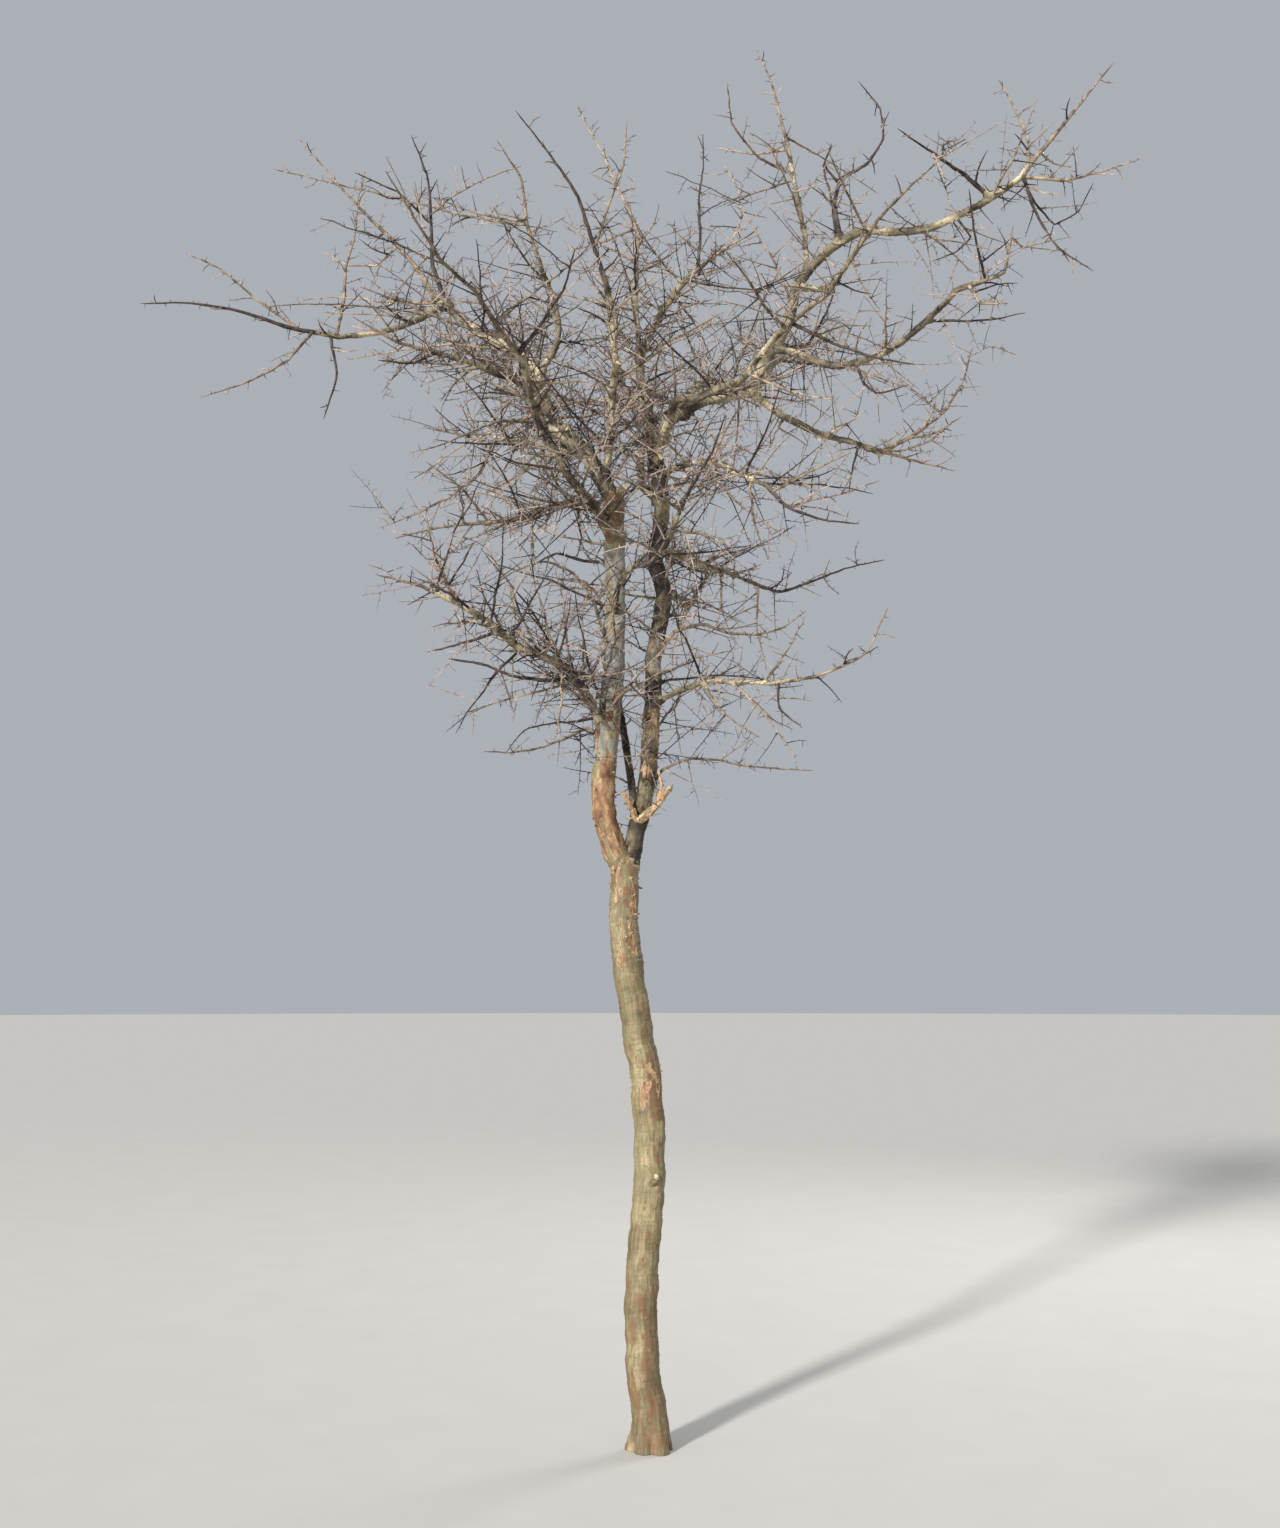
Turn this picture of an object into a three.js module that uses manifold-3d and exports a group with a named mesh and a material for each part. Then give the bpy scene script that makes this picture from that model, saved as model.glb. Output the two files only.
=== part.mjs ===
// A bare, spiny corkwood tree: a trunk that forks into two stems, crooked boughs, and masses of
// thorny twigs. Millimetres, +Z up, +X to the right, +Y away from the side it is seen from.
// The origin is the middle of the flat cut under the trunk, at ground level.

import * as THREE from 'three';
import { mergeVertices } from 'three/addons/utils/BufferGeometryUtils.js';
import Module from 'manifold-3d';

const wasm = await Module();
wasm.setup();

// Joints between the pieces
const seatGap = 0.3; // clear space between a limb or twig stem and what carries it
const seatDepth = 0.6; // how far a limb starts inside its carrier's tip, in tip radii

// Facets
const trunkSides = 14;
const stemSides = 10;
const boughSides = 7;
const twigSides = 3;
const trunkStride = 120; // length of one step along the trunk
const stemStride = 70;
const boughStride = 130;
const leaderStride = 165;

// Trunk foot
const flareHeight = 110; // height over which the root flare dies away
const flareSpread = 0.3; // how much wider the foot is than the trunk above it
const flareLobes = 5;
const flareLobeDepth = 0.28; // share of the flare that comes and goes with the lobes

// Crook of a bough: how far it wanders, as a share of its length, and how often it swings to the
// right, away and up on its way to the tip. The bends of the two stems are their own.
const crookShare = 0.012;
const crookSwings = [2.3, 3, 3.9];

// Twigs
const stemGirthMost = 18; // thickness across the foot of a mass's stem, at most
const stemShare = 0.9; // and as a share of its carrier's thickness there
const armShare = 0.75; // an arm's thickness, as a share of its stem's where it leaves it
const tipGirth = 4; // thickness across a leading twig's end
const zigzag = 7; // sideways step of a leading twig from one bud to the next
const twigSpacing = 165; // from one side twig to the next along a leading twig
const twigLongest = 250; // side twig near the foot of a leading twig
const twigShortest = 80; // side twig near its end
const twigLengthShare = [0.65, 1.15]; // least and most of that length that a twig comes to
const twigGirth = [9, 3.4]; // thickness across a side twig's foot and end
const twigGirthShare = 0.75; // a side twig's foot is no thicker than this share of its carrier
const twigLean = [48, 78]; // degrees between a side twig and what it grows on
const twigKink = 26; // degrees a side twig turns by at its middle bud
const goldenTurn = 137.5; // degrees round the leading twig from one side twig to the next
const twigStray = 50; // degrees a side twig may stray round from that
const slotShare = [0.25, 0.75]; // part of its slot along the leading twig where a twig may stand
const twigSpread = 330; // a mass reaches this far from its leading twigs
const twigClear = 14; // a side twig stays this far from every limb
const massClear = 16; // and this much nearer to its own leading twigs than to any other mass's

// Trunk: bends on its way up, its fork, and its thickness at foot and fork
const trunk = {
  name: 'trunk',
  bends: [[-30, 0, 450], [0, 0, 1060], [-55, 0, 1480], [-92, 0, 1780]],
  tip: [-84, 0, 1970],
  girth: [116, 104],
};

// Limbs. Each has its carrier and how far along that it leaves it (1 is the carrier's tip), the
// bends on its way, its tip, and its thickness across at foot and tip.
const limbs = [
  {
    name: 'stem_left', from: 'trunk', at: 1, girth: [88, 72],
    bends: [
      [-152, -10, 2110], [-162, -15, 2260], [-144, -25, 2470], [-128, -30, 2680], [-124, -35, 3090],
    ],
    tip: [-130, -50, 3290],
  },
  {
    name: 'stem_right', from: 'trunk', at: 0.96, girth: [66, 56],
    bends: [
      [-12, 30, 2260], [8, 45, 2500], [20, 55, 2750], [53, 65, 2950], [20, 75, 3090], [46, 88, 3260],
    ],
    tip: [20, 100, 3500],
  },
  {
    name: 'bough_left_inner', from: 'stem_left', at: 1, girth: [66, 48],
    bends: [[-220, -40, 3440], [-330, -20, 3540], [-395, -10, 3680]],
    tip: [-430, 10, 3810],
  },
  {
    name: 'bough_left_outer', from: 'bough_left_inner', at: 1, girth: [42, 30],
    bends: [[-500, 30, 3860], [-640, 60, 3950]],
    tip: [-800, 90, 4090],
  },
  {
    name: 'bough_left_long', from: 'bough_left_outer', at: 0.9, girth: [25, 19],
    bends: [[-880, 0, 3950], [-990, -40, 3895]],
    tip: [-1120, -90, 3865],
  },
  {
    name: 'bough_left_second', from: 'bough_left_inner', at: 0.78, girth: [30, 19],
    bends: [[-500, -90, 3705]],
    tip: [-720, -240, 3740],
  },
  {
    name: 'bough_left_level', from: 'bough_left_inner', at: 0.3, girth: [28, 17],
    bends: [[-380, 100, 3520]],
    tip: [-580, 240, 3600],
  },
  {
    name: 'bough_left_low', from: 'stem_left', at: 0.93, girth: [26, 15],
    bends: [[-280, -150, 3240], [-360, -200, 3185]],
    tip: [-520, -290, 3125],
  },
  {
    name: 'bough_left_mid', from: 'stem_left', at: 0.36, girth: [36, 21],
    bends: [[-240, -130, 2590], [-380, -270, 2660]],
    tip: [-640, -430, 2810],
  },
  {
    name: 'bough_right_inner', from: 'stem_right', at: 1, girth: [52, 47],
    bends: [[80, 70, 3610], [190, 45, 3665]],
    tip: [385, 0, 3695],
  },
  {
    name: 'bough_right_rise', from: 'bough_right_inner', at: 1, girth: [46, 40],
    bends: [[425, -30, 3810], [505, -70, 3940]],
    tip: [530, -100, 4060],
  },
  {
    name: 'bough_right_crest', from: 'bough_right_rise', at: 1, girth: [40, 34],
    bends: [[590, -110, 4125], [690, -130, 4205]],
    tip: [790, -150, 4250],
  },
  {
    name: 'bough_right_outer', from: 'bough_right_crest', at: 1, girth: [34, 22],
    bends: [[980, -180, 4230], [1170, -210, 4300]],
    tip: [1320, -230, 4400],
  },
  {
    name: 'bough_right_fork', from: 'bough_right_rise', at: 1, girth: [30, 18],
    bends: [[640, -180, 4020]],
    tip: [715, -245, 4100],
  },
  {
    name: 'bough_right_upper_mid', from: 'bough_right_rise', at: 0.42, girth: [29, 20],
    bends: [[600, -170, 3750], [700, -240, 3695], [860, -380, 3735]],
    tip: [1035, -520, 3865],
  },
  {
    name: 'bough_right_lower_mid', from: 'bough_right_inner', at: 0.97, girth: [31, 20],
    bends: [[520, 110, 3620], [690, 240, 3610]],
    tip: [890, 350, 3570],
  },
  {
    name: 'bough_centre', from: 'stem_right', at: 0.95, girth: [38, 25],
    bends: [[0, 160, 3640], [-30, 210, 3830], [30, 300, 4090]],
    tip: [170, 380, 4310],
  },
  {
    name: 'bough_crown_left', from: 'bough_left_inner', at: 0.12, girth: [30, 23],
    bends: [[-130, -75, 3630], [-130, -100, 3840]],
    tip: [-150, -140, 4030],
  },
  {
    name: 'bough_crown_mid', from: 'bough_centre', at: 0.45, girth: [22, 15],
    bends: [[-50, 225, 4120]],
    tip: [-40, 270, 4420],
  },
  {
    name: 'bough_crown_far_left', from: 'bough_left_inner', at: 0.9, girth: [26, 19],
    bends: [[-320, -35, 3900]],
    tip: [-390, -80, 4120],
  },
  {
    name: 'bough_crown_right', from: 'bough_right_crest', at: 0.2, girth: [22, 17],
    bends: [[560, -100, 4290]],
    tip: [530, -80, 4460],
  },
  {
    name: 'bough_right_low', from: 'stem_right', at: 0.94, girth: [24, 15],
    bends: [[180, -60, 3405], [310, -190, 3320]],
    tip: [400, -300, 3250],
  },
  {
    name: 'bough_right_lower', from: 'stem_right', at: 0.77, girth: [24, 15],
    bends: [[180, 180, 3100]],
    tip: [360, 280, 3060],
  },
  {
    name: 'bough_right_lowest', from: 'stem_right', at: 0.41, girth: [24, 14],
    bends: [[180, -60, 2610]],
    tip: [420, -220, 2575],
  },
  {
    name: 'bough_front_left', from: 'stem_left', at: 0.84, girth: [36, 21],
    bends: [[-190, -240, 3190], [-350, -490, 3350]],
    tip: [-400, -800, 3500],
  },
  {
    name: 'bough_front_right', from: 'bough_right_inner', at: 0.12, girth: [36, 21],
    bends: [[110, -170, 3600], [280, -430, 3560]],
    tip: [420, -700, 3640],
  },
  {
    name: 'bough_front_low', from: 'stem_left', at: 0.66, girth: [24, 15],
    bends: [[-90, -220, 2970], [30, -430, 2960]],
    tip: [90, -620, 3060],
  },
  {
    name: 'bough_back_left', from: 'bough_left_inner', at: 0.55, girth: [36, 21],
    bends: [[-400, 210, 3690], [-540, 480, 3950]],
    tip: [-640, 740, 4060],
  },
  {
    name: 'bough_back_right', from: 'bough_right_inner', at: 0.4, girth: [38, 21],
    bends: [[200, 230, 3810], [420, 530, 3900]],
    tip: [520, 820, 4110],
  },
  {
    name: 'bough_back_mid', from: 'stem_right', at: 0.88, girth: [34, 20],
    bends: [[-40, 330, 3470], [20, 610, 3800]],
    tip: [-80, 880, 3960],
  },
  {
    name: 'bough_back_low', from: 'stem_right', at: 0.62, girth: [24, 15],
    bends: [[90, 250, 3000], [150, 490, 3010]],
    tip: [240, 700, 3180],
  },
];

// Masses of twigs. Each has its carrier, whose tip its stem goes on from unless it says how far
// along it leaves it, the stem's bends and tip, and the arms that lead out of the stem.
const masses = [
  {
    name: 'twigs_left_far', from: 'bough_left_long', seed: 11,
    stem: [[-1300, -140, 3885], [-1560, -210, 3940], [-1790, -250, 3925]],
    arms: [
      { at: 0.02, route: [[-1100, 0, 4230], [-1070, 100, 4590]] },
      { at: 0.2, route: [[-1450, -130, 4020], [-1590, -90, 4150], [-1690, -50, 4200]] },
      { at: 0.14, route: [[-1310, -230, 3690], [-1540, -350, 3545]] },
      { at: 0.05, route: [[-1100, -170, 3650], [-1145, -200, 3520]] },
    ],
  },
  {
    name: 'twigs_left_top', from: 'bough_left_outer', seed: 12,
    stem: [[-900, 130, 4260], [-1110, 210, 4500], [-1360, 300, 4820]],
    arms: [{ at: 0.3, route: [[-1100, 320, 4300], [-1290, 420, 4420]] }],
  },
  {
    name: 'twigs_left_upright', from: 'bough_left_outer', at: 0.84, seed: 13,
    stem: [[-820, 50, 4280], [-800, 0, 4460], [-870, -100, 4630]],
    arms: [
      { at: 0.55, route: [[-620, -130, 4440], [-460, -200, 4460]] },
      { at: 0.5, route: [[-930, -60, 4440], [-1070, -120, 4475]] },
    ],
  },
  {
    name: 'twigs_crown_far_left', from: 'bough_crown_far_left', seed: 14,
    stem: [[-455, -125, 4340], [-485, -170, 4510], [-550, -200, 4560]],
    arms: [{ at: 0.35, route: [[-640, 160, 4430], [-1080, 420, 4660], [-1530, 600, 4850]] }],
  },
  {
    name: 'twigs_crown_left', from: 'bough_crown_left', seed: 15,
    stem: [[-200, -200, 4180], [-300, -260, 4400], [-470, -350, 4590]],
    arms: [{ at: 0.22, route: [[-100, -250, 4420], [-80, -260, 4600]] }],
  },
  {
    name: 'twigs_crown_mid', from: 'bough_crown_mid', seed: 16,
    stem: [[-110, 350, 4630], [-200, 430, 4860], [-290, 500, 5080]],
    arms: [{ at: 0.05, route: [[-180, 420, 4460], [-330, 560, 4480]] }],
  },
  {
    name: 'twigs_centre', from: 'bough_centre', seed: 17,
    stem: [[260, 410, 4390], [340, 430, 4470], [430, 460, 4520]],
    arms: [
      { at: 0.1, route: [[205, 440, 4640], [220, 500, 4950]] },
      { at: 0.6, route: [[380, 520, 4690], [300, 600, 4880]] },
    ],
  },
  {
    name: 'twigs_crown_right', from: 'bough_crown_right', seed: 18,
    stem: [[505, -55, 4620], [465, -30, 4840], [400, 0, 5020]],
    arms: [
      { at: 0.06, route: [[390, -150, 4530], [280, -230, 4620], [275, -290, 4730]] },
      { at: 0.25, route: [[400, 60, 4640], [250, 130, 4700]] },
    ],
  },
  {
    name: 'twigs_crest', from: 'bough_right_crest', at: 0.66, seed: 19,
    stem: [[670, -70, 4440], [790, 40, 4570], [905, 130, 4770], [810, 220, 5020]],
    arms: [{ at: 0.3, route: [[640, -10, 4570], [680, 20, 4660]] }],
  },
  {
    name: 'twigs_right_far', from: 'bough_right_outer', seed: 20,
    stem: [[1430, -260, 4530], [1540, -280, 4670], [1650, -300, 4800]],
    arms: [
      { at: 0.02, route: [[1530, -190, 4410], [1660, -140, 4480], [1800, -100, 4540]] },
      { at: 0.1, route: [[1350, -170, 4640], [1280, -110, 4840]] },
      { at: 0.04, route: [[1390, -350, 4110], [1510, -440, 3960]] },
    ],
  },
  {
    name: 'twigs_right_over', from: 'bough_right_outer', at: 0.8, seed: 21,
    stem: [[1140, -270, 4380], [1010, -350, 4410], [850, -450, 4470]],
    arms: [{ at: 0.55, route: [[1010, -500, 4390], [1020, -620, 4340]] }],
  },
  {
    name: 'twigs_right_fork', from: 'bough_right_fork', seed: 22,
    stem: [[790, -330, 4180], [860, -470, 4230], [960, -640, 4260]],
    arms: [{ at: 0.2, route: [[670, -440, 4270], [600, -560, 4330]] }],
  },
  {
    name: 'twigs_right_upper_mid', from: 'bough_right_upper_mid', seed: 23,
    stem: [[1120, -570, 3870], [1190, -600, 3900], [1200, -620, 4040]],
    arms: [
      { at: 0.12, route: [[1090, -660, 3750], [1140, -790, 3700]] },
      { at: 0.3, route: [[1060, -700, 3990], [1020, -800, 4080]] },
    ],
  },
  {
    name: 'twigs_right_lower_mid', from: 'bough_right_lower_mid', seed: 24,
    stem: [[1030, 400, 3665], [1190, 450, 3810], [1290, 530, 4080]],
    arms: [
      { at: 0.02, route: [[1050, 400, 3550], [1190, 450, 3535]] },
      { at: 0.2, route: [[1100, 310, 3640], [1190, 260, 3690]] },
      { at: 0.9, route: [[1390, 570, 4090], [1480, 600, 4060]] },
    ],
  },
  {
    name: 'twigs_right_low', from: 'bough_right_low', seed: 25,
    stem: [[480, -370, 3145], [580, -440, 3090], [690, -500, 3060]],
    arms: [{ at: 0.1, route: [[540, -420, 3260], [660, -540, 3290]] }],
  },
  {
    name: 'twigs_right_lower', from: 'bough_right_lower', seed: 26,
    stem: [[500, 350, 3025], [700, 410, 3120], [910, 450, 3180]],
    arms: [{ at: 0.1, route: [[400, 350, 2900], [450, 420, 2740]] }],
  },
  {
    name: 'twigs_right_lowest', from: 'bough_right_lowest', seed: 27,
    stem: [[560, -280, 2585], [710, -340, 2640], [800, -360, 2810]],
    arms: [{ at: 0.05, route: [[440, -330, 2470], [500, -430, 2390]] }],
  },
  {
    name: 'twigs_left_second', from: 'bough_left_second', seed: 28,
    stem: [[-860, -330, 3750], [-1010, -440, 3800]],
    arms: [{ at: 0.1, route: [[-800, -400, 3650], [-900, -560, 3600]] }],
  },
  {
    name: 'twigs_left_level', from: 'bough_left_level', seed: 29,
    stem: [[-680, 340, 3450], [-860, 430, 3380], [-1050, 500, 3320]],
    arms: [{ at: 0.05, route: [[-720, 330, 3640], [-880, 420, 3700]] }],
  },
  {
    name: 'twigs_left_low', from: 'bough_left_low', seed: 30,
    stem: [[-640, -350, 3110], [-740, -400, 3060], [-850, -450, 3025]],
    arms: [{ at: 0.1, route: [[-620, -420, 3200], [-740, -540, 3260]] }],
  },
  {
    name: 'twigs_left_mid', from: 'bough_left_mid', seed: 31,
    stem: [[-760, -480, 2860], [-900, -540, 2880]],
    arms: [{ at: 0.05, route: [[-700, -520, 2940], [-720, -640, 3040]] }],
  },
  {
    name: 'twigs_front_left', from: 'bough_front_left', seed: 32,
    stem: [[-510, -1030, 3600], [-650, -1300, 3680], [-740, -1500, 3790]],
    arms: [
      { at: 0.05, route: [[-300, -1050, 3570], [-220, -1330, 3640]] },
      { at: 0.15, route: [[-640, -960, 3580], [-880, -1060, 3640]] },
    ],
  },
  {
    name: 'twigs_front_right', from: 'bough_front_right', seed: 33,
    stem: [[520, -900, 3660], [570, -1160, 3640], [600, -1400, 3680]],
    arms: [
      { at: 0.05, route: [[330, -950, 3660], [210, -1200, 3700]] },
      { at: 0.1, route: [[640, -840, 3520], [800, -1000, 3420]] },
    ],
  },
  {
    name: 'twigs_front_low', from: 'bough_front_low', seed: 34,
    stem: [[150, -840, 3120], [220, -1090, 3230]],
    arms: [{ at: 0.05, route: [[-20, -860, 3110], [-110, -1050, 3190]] }],
  },
  {
    name: 'twigs_back_left', from: 'bough_back_left', seed: 35,
    stem: [[-730, 950, 4200], [-900, 1200, 4380], [-1020, 1400, 4580]],
    arms: [
      { at: 0.05, route: [[-520, 1010, 4220], [-450, 1250, 4400]] },
      { at: 0.1, route: [[-880, 880, 4130], [-1150, 1000, 4190]] },
    ],
  },
  {
    name: 'twigs_back_right', from: 'bough_back_right', seed: 36,
    stem: [[620, 1040, 4230], [780, 1290, 4400], [900, 1480, 4620]],
    arms: [
      { at: 0.05, route: [[420, 1050, 4280], [380, 1260, 4520]] },
      { at: 0.1, route: [[760, 960, 4150], [1060, 1040, 4200]] },
    ],
  },
  {
    name: 'twigs_back_mid', from: 'bough_back_mid', seed: 37,
    stem: [[-110, 1090, 4120], [-160, 1340, 4330], [-170, 1560, 4560]],
    arms: [
      { at: 0.05, route: [[70, 1080, 4060], [190, 1330, 4130]] },
      { at: 0.1, route: [[-260, 1080, 4040], [-480, 1220, 4060]] },
    ],
  },
  {
    name: 'twigs_back_low', from: 'bough_back_low', seed: 38,
    stem: [[310, 880, 3270], [400, 1130, 3400]],
    arms: [{ at: 0.05, route: [[130, 860, 3260], [60, 1060, 3360]] }],
  },
];

// Numbers between 0 and 1 that come out the same each time for one seed
function seededDraw(seed) {
  let state = seed >>> 0;
  return () => {
    state = (state + 0x6d2b79f5) >>> 0;
    let mixed = Math.imul(state ^ (state >>> 15), 1 | state);
    mixed = (mixed + Math.imul(mixed ^ (mixed >>> 7), 61 | mixed)) ^ mixed;
    return ((mixed ^ (mixed >>> 14)) >>> 0) / 4294967296;
  };
}

// The value at a share of the way from the first of a pair to the second
function between(pair, share) {
  return THREE.MathUtils.lerp(pair[0], pair[1], share);
}

function vector(place) {
  return new THREE.Vector3(...place);
}

// Points along a smooth curve, about one stride apart, and the curve's length
function pointsAlong(places, stride) {
  const curve = new THREE.CatmullRomCurve3(places);
  const length = curve.getLength();
  const steps = Math.max(2, Math.round(length / stride));
  const points = [];
  for (let k = 0; k <= steps; k += 1) {
    points.push(curve.getPointAt(k / steps));
  }
  return { points, length };
}

// A bough wanders a little off its smooth curve, but not at its foot and its tip
function crooked({ points, length }, seed) {
  return points.map((point, k) => {
    const share = k / (points.length - 1);
    const fade = crookShare * length * Math.sin(Math.PI * share);
    const swing = crookSwings.map((swings) => fade * Math.sin(2 * Math.PI * swings * share + seed));
    return point.clone().add(vector(swing));
  });
}

// A leading twig steps to one side and the other from bud to bud
function zigzagged(points) {
  const last = points.length - 1;
  const run = points[last].clone().sub(points[0]).normalize();
  const side = new THREE.Vector3(0, 0, 1).cross(run).normalize();
  return points.map((point, k) => {
    const step = k === 0 || k === last ? 0 : zigzag * (k % 2 === 0 ? 1 : -1);
    return point.clone().addScaledVector(side, step);
  });
}

// A limb's route: its points and the radius at each
function taperedRoute(points, girth) {
  const last = points.length - 1;
  const radii = points.map((_, k) => between(girth, k / last) / 2);
  return { points, radii };
}

// The place at a share of the way along a route, with the radius and direction there
function placeOn(route, share) {
  const last = route.points.length - 1;
  const k = Math.min(Math.floor(share * last), last - 1);
  const rest = share * last - k;
  const ahead = route.points[k + 1].clone().sub(route.points[k]).normalize();
  return {
    point: route.points[k].clone().lerp(route.points[k + 1], rest),
    radius: between([route.radii[k], route.radii[k + 1]], rest),
    ahead,
  };
}

// Two directions square to the route at each of its points, carried along without twist
function framesAlong(points, levelFoot) {
  const last = points.length - 1;
  const frames = [];
  let across;
  for (let k = 0; k <= last; k += 1) {
    const before = points[Math.max(k - 1, 0)];
    const after = points[Math.min(k + 1, last)];
    const ahead = levelFoot && k === 0
      ? new THREE.Vector3(0, 0, 1)
      : after.clone().sub(before).normalize();
    if (k === 0) {
      const mostlySideways = Math.abs(ahead.x) > Math.abs(ahead.y) + Math.abs(ahead.z);
      across = mostlySideways ? new THREE.Vector3(0, 1, 0) : new THREE.Vector3(1, 0, 0);
    }
    across = across.clone().addScaledVector(ahead, -across.dot(ahead)).normalize();
    frames.push({ ahead, across, square: across.clone().cross(ahead) });
  }
  return frames;
}

// A closed cylinder bent along a route; grown makes it fatter and longer all round
function bentCylinder(route, sides, { grown = 0, levelFoot = false, widen = () => 1 } = {}) {
  const steps = route.points.length - 1;
  const tube = new THREE.CylinderGeometry(1, 1, 1, sides, steps);
  const frames = framesAlong(route.points, levelFoot);
  const place = tube.attributes.position;
  for (let i = 0; i < place.count; i += 1) {
    const k = Math.round((place.getY(i) + 0.5) * steps);
    const { ahead, across, square } = frames[k];
    const turn = Math.atan2(place.getZ(i), place.getX(i));
    const radius = (route.radii[k] + grown) * widen(route.points[k].z, turn);
    const spot = route.points[k].clone()
      .addScaledVector(across, radius * place.getX(i))
      .addScaledVector(square, radius * place.getZ(i));
    const isEnd = k === 0 || k === steps;
    spot.addScaledVector(ahead, isEnd ? grown * Math.sign(k - 0.5) : 0);
    place.setXYZ(i, spot.x, spot.y, spot.z);
  }
  return solidFrom(tube);
}

// A closed mesh as a solid that can be joined and cut
function solidFrom(geometry) {
  geometry.deleteAttribute('normal');
  geometry.deleteAttribute('uv');
  const merged = mergeVertices(geometry);
  return new wasm.Manifold(new wasm.Mesh({
    numProp: 3,
    vertProperties: new Float32Array(merged.attributes.position.array),
    triVerts: new Uint32Array(merged.index.array),
  }));
}

// The largest of the bodies that a cut leaves
function largestBody(solid) {
  const bodies = solid.decompose();
  return bodies.reduce((most, body) => (body.volume() > most.volume() ? body : most));
}

function boxesMeet(a, b) {
  const first = a.boundingBox();
  const second = b.boundingBox();
  return [0, 1, 2].every((i) => first.min[i] <= second.max[i] && second.min[i] <= first.max[i]);
}

// Cuts a solid clear of every limb that is already in place
function cutClear(solid, placedLimbs) {
  let rest = solid;
  for (const limb of placedLimbs) {
    if (boxesMeet(rest, limb.envelope)) {
      rest = rest.subtract(limb.envelope);
    }
  }
  return largestBody(rest);
}

// Extra width of the trunk near the ground, in rounded lobes
function rootFlare(height, turn) {
  const lobes = 1 + flareLobeDepth * Math.cos(flareLobes * turn);
  return 1 + flareSpread * Math.exp(-height / flareHeight) * lobes;
}

function makeTrunk() {
  const places = [new THREE.Vector3(), ...trunk.bends.map(vector), vector(trunk.tip)];
  const route = taperedRoute(pointsAlong(places, trunkStride).points, trunk.girth);
  const shape = { levelFoot: true, widen: rootFlare };
  return {
    name: trunk.name,
    route,
    solid: bentCylinder(route, trunkSides, shape),
    envelope: bentCylinder(route, trunkSides, { ...shape, grown: seatGap }),
  };
}

// Where a limb or a stem starts: on its carrier's middle line, a little back from a tip
function footOn(carrier, share) {
  const place = placeOn(carrier.route, share);
  const back = share === 1 ? seatDepth * place.radius : 0;
  return { ...place, point: place.point.clone().addScaledVector(place.ahead, -back) };
}

function makeLimb(spec, index, placed) {
  const isStem = spec.name.startsWith('stem');
  const foot = footOn(placed.get(spec.from), spec.at);
  const places = [foot.point, ...spec.bends.map(vector), vector(spec.tip)];
  const smooth = pointsAlong(places, isStem ? stemStride : boughStride);
  const route = taperedRoute(isStem ? smooth.points : crooked(smooth, index), spec.girth);
  const sides = isStem ? stemSides : boughSides;
  return {
    name: spec.name,
    route,
    solid: cutClear(bentCylinder(route, sides), [...placed.values()]),
    envelope: bentCylinder(route, sides, { grown: seatGap }),
  };
}

// A mass's stem and arms, from its carrier's tip outward
function leadersOf(mass, placed) {
  const foot = footOn(placed.get(mass.from), mass.at ?? 1);
  const stemPlaces = [foot.point, ...mass.stem.map(vector)];
  const stemGirth = [Math.min(2 * stemShare * foot.radius, stemGirthMost), tipGirth];
  const stem = taperedRoute(zigzagged(pointsAlong(stemPlaces, leaderStride).points), stemGirth);
  const arms = mass.arms.map((arm) => {
    const root = placeOn(stem, arm.at);
    const places = [root.point, ...arm.route.map(vector)];
    const girth = [2 * armShare * root.radius, tipGirth];
    return taperedRoute(zigzagged(pointsAlong(places, leaderStride).points), girth);
  });
  return [stem, ...arms];
}

function distanceToLine(point, start, end) {
  const line = new THREE.Line3(start, end);
  return line.closestPointToPoint(point, true, new THREE.Vector3()).distanceTo(point);
}

// How far a point is from a route's middle line
function distanceToRoute(point, route) {
  let least = Infinity;
  for (let k = 0; k < route.points.length - 1; k += 1) {
    least = Math.min(least, distanceToLine(point, route.points[k], route.points[k + 1]));
  }
  return least;
}

function distanceToLeaders(point, leaders) {
  return Math.min(...leaders.map((leader) => distanceToRoute(point, leader)));
}

// The seeded rule for one side twig: where it leaves its leading twig, which way it points, how
// long it is, and the kink at its middle bud
function sideTwig(leader, slot, slots, seed) {
  const draw = seededDraw(seed);
  const share = (slot + between(slotShare, draw())) / slots;
  const root = placeOn(leader, share);
  const turn = THREE.MathUtils.degToRad(goldenTurn * slot + twigStray * draw());
  const lean = THREE.MathUtils.degToRad(between(twigLean, draw()));
  const length = between([twigLongest, twigShortest], share) * between(twigLengthShare, draw());
  const kink = THREE.MathUtils.degToRad(twigKink * (draw() < 0.5 ? -1 : 1));
  const across = new THREE.Vector3(0, 0, 1).cross(root.ahead).normalize();
  const aside = across.clone().applyAxisAngle(root.ahead, turn);
  const heading = root.ahead.clone().multiplyScalar(Math.cos(lean)).addScaledVector(aside, Math.sin(lean));
  const bentHeading = heading.clone().applyAxisAngle(across, kink);
  const middle = root.point.clone().addScaledVector(heading, 0.5 * length);
  const end = middle.clone().addScaledVector(bentHeading, 0.5 * length);
  const girth = [Math.min(twigGirth[0], 2 * twigGirthShare * root.radius), twigGirth[1]];
  return taperedRoute([root.point, middle, end], girth);
}

// A side twig is kept where it stays in its mass's own space and clear of every limb
function isKept(twig, own, others, placedLimbs) {
  const [root, middle, end] = twig.points;
  const spots = [middle, end, middle.clone().lerp(root, 0.5), middle.clone().lerp(end, 0.5)];
  return spots.every((spot) => {
    const ownDistance = distanceToLeaders(spot, own);
    const staysIn = ownDistance < twigSpread
      && others.every((leaders) => distanceToLeaders(spot, leaders) > ownDistance + massClear);
    return staysIn && placedLimbs.every((limb) => (
      distanceToRoute(spot, limb.route) > limb.route.radii[0] + twigClear
    ));
  });
}

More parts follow.
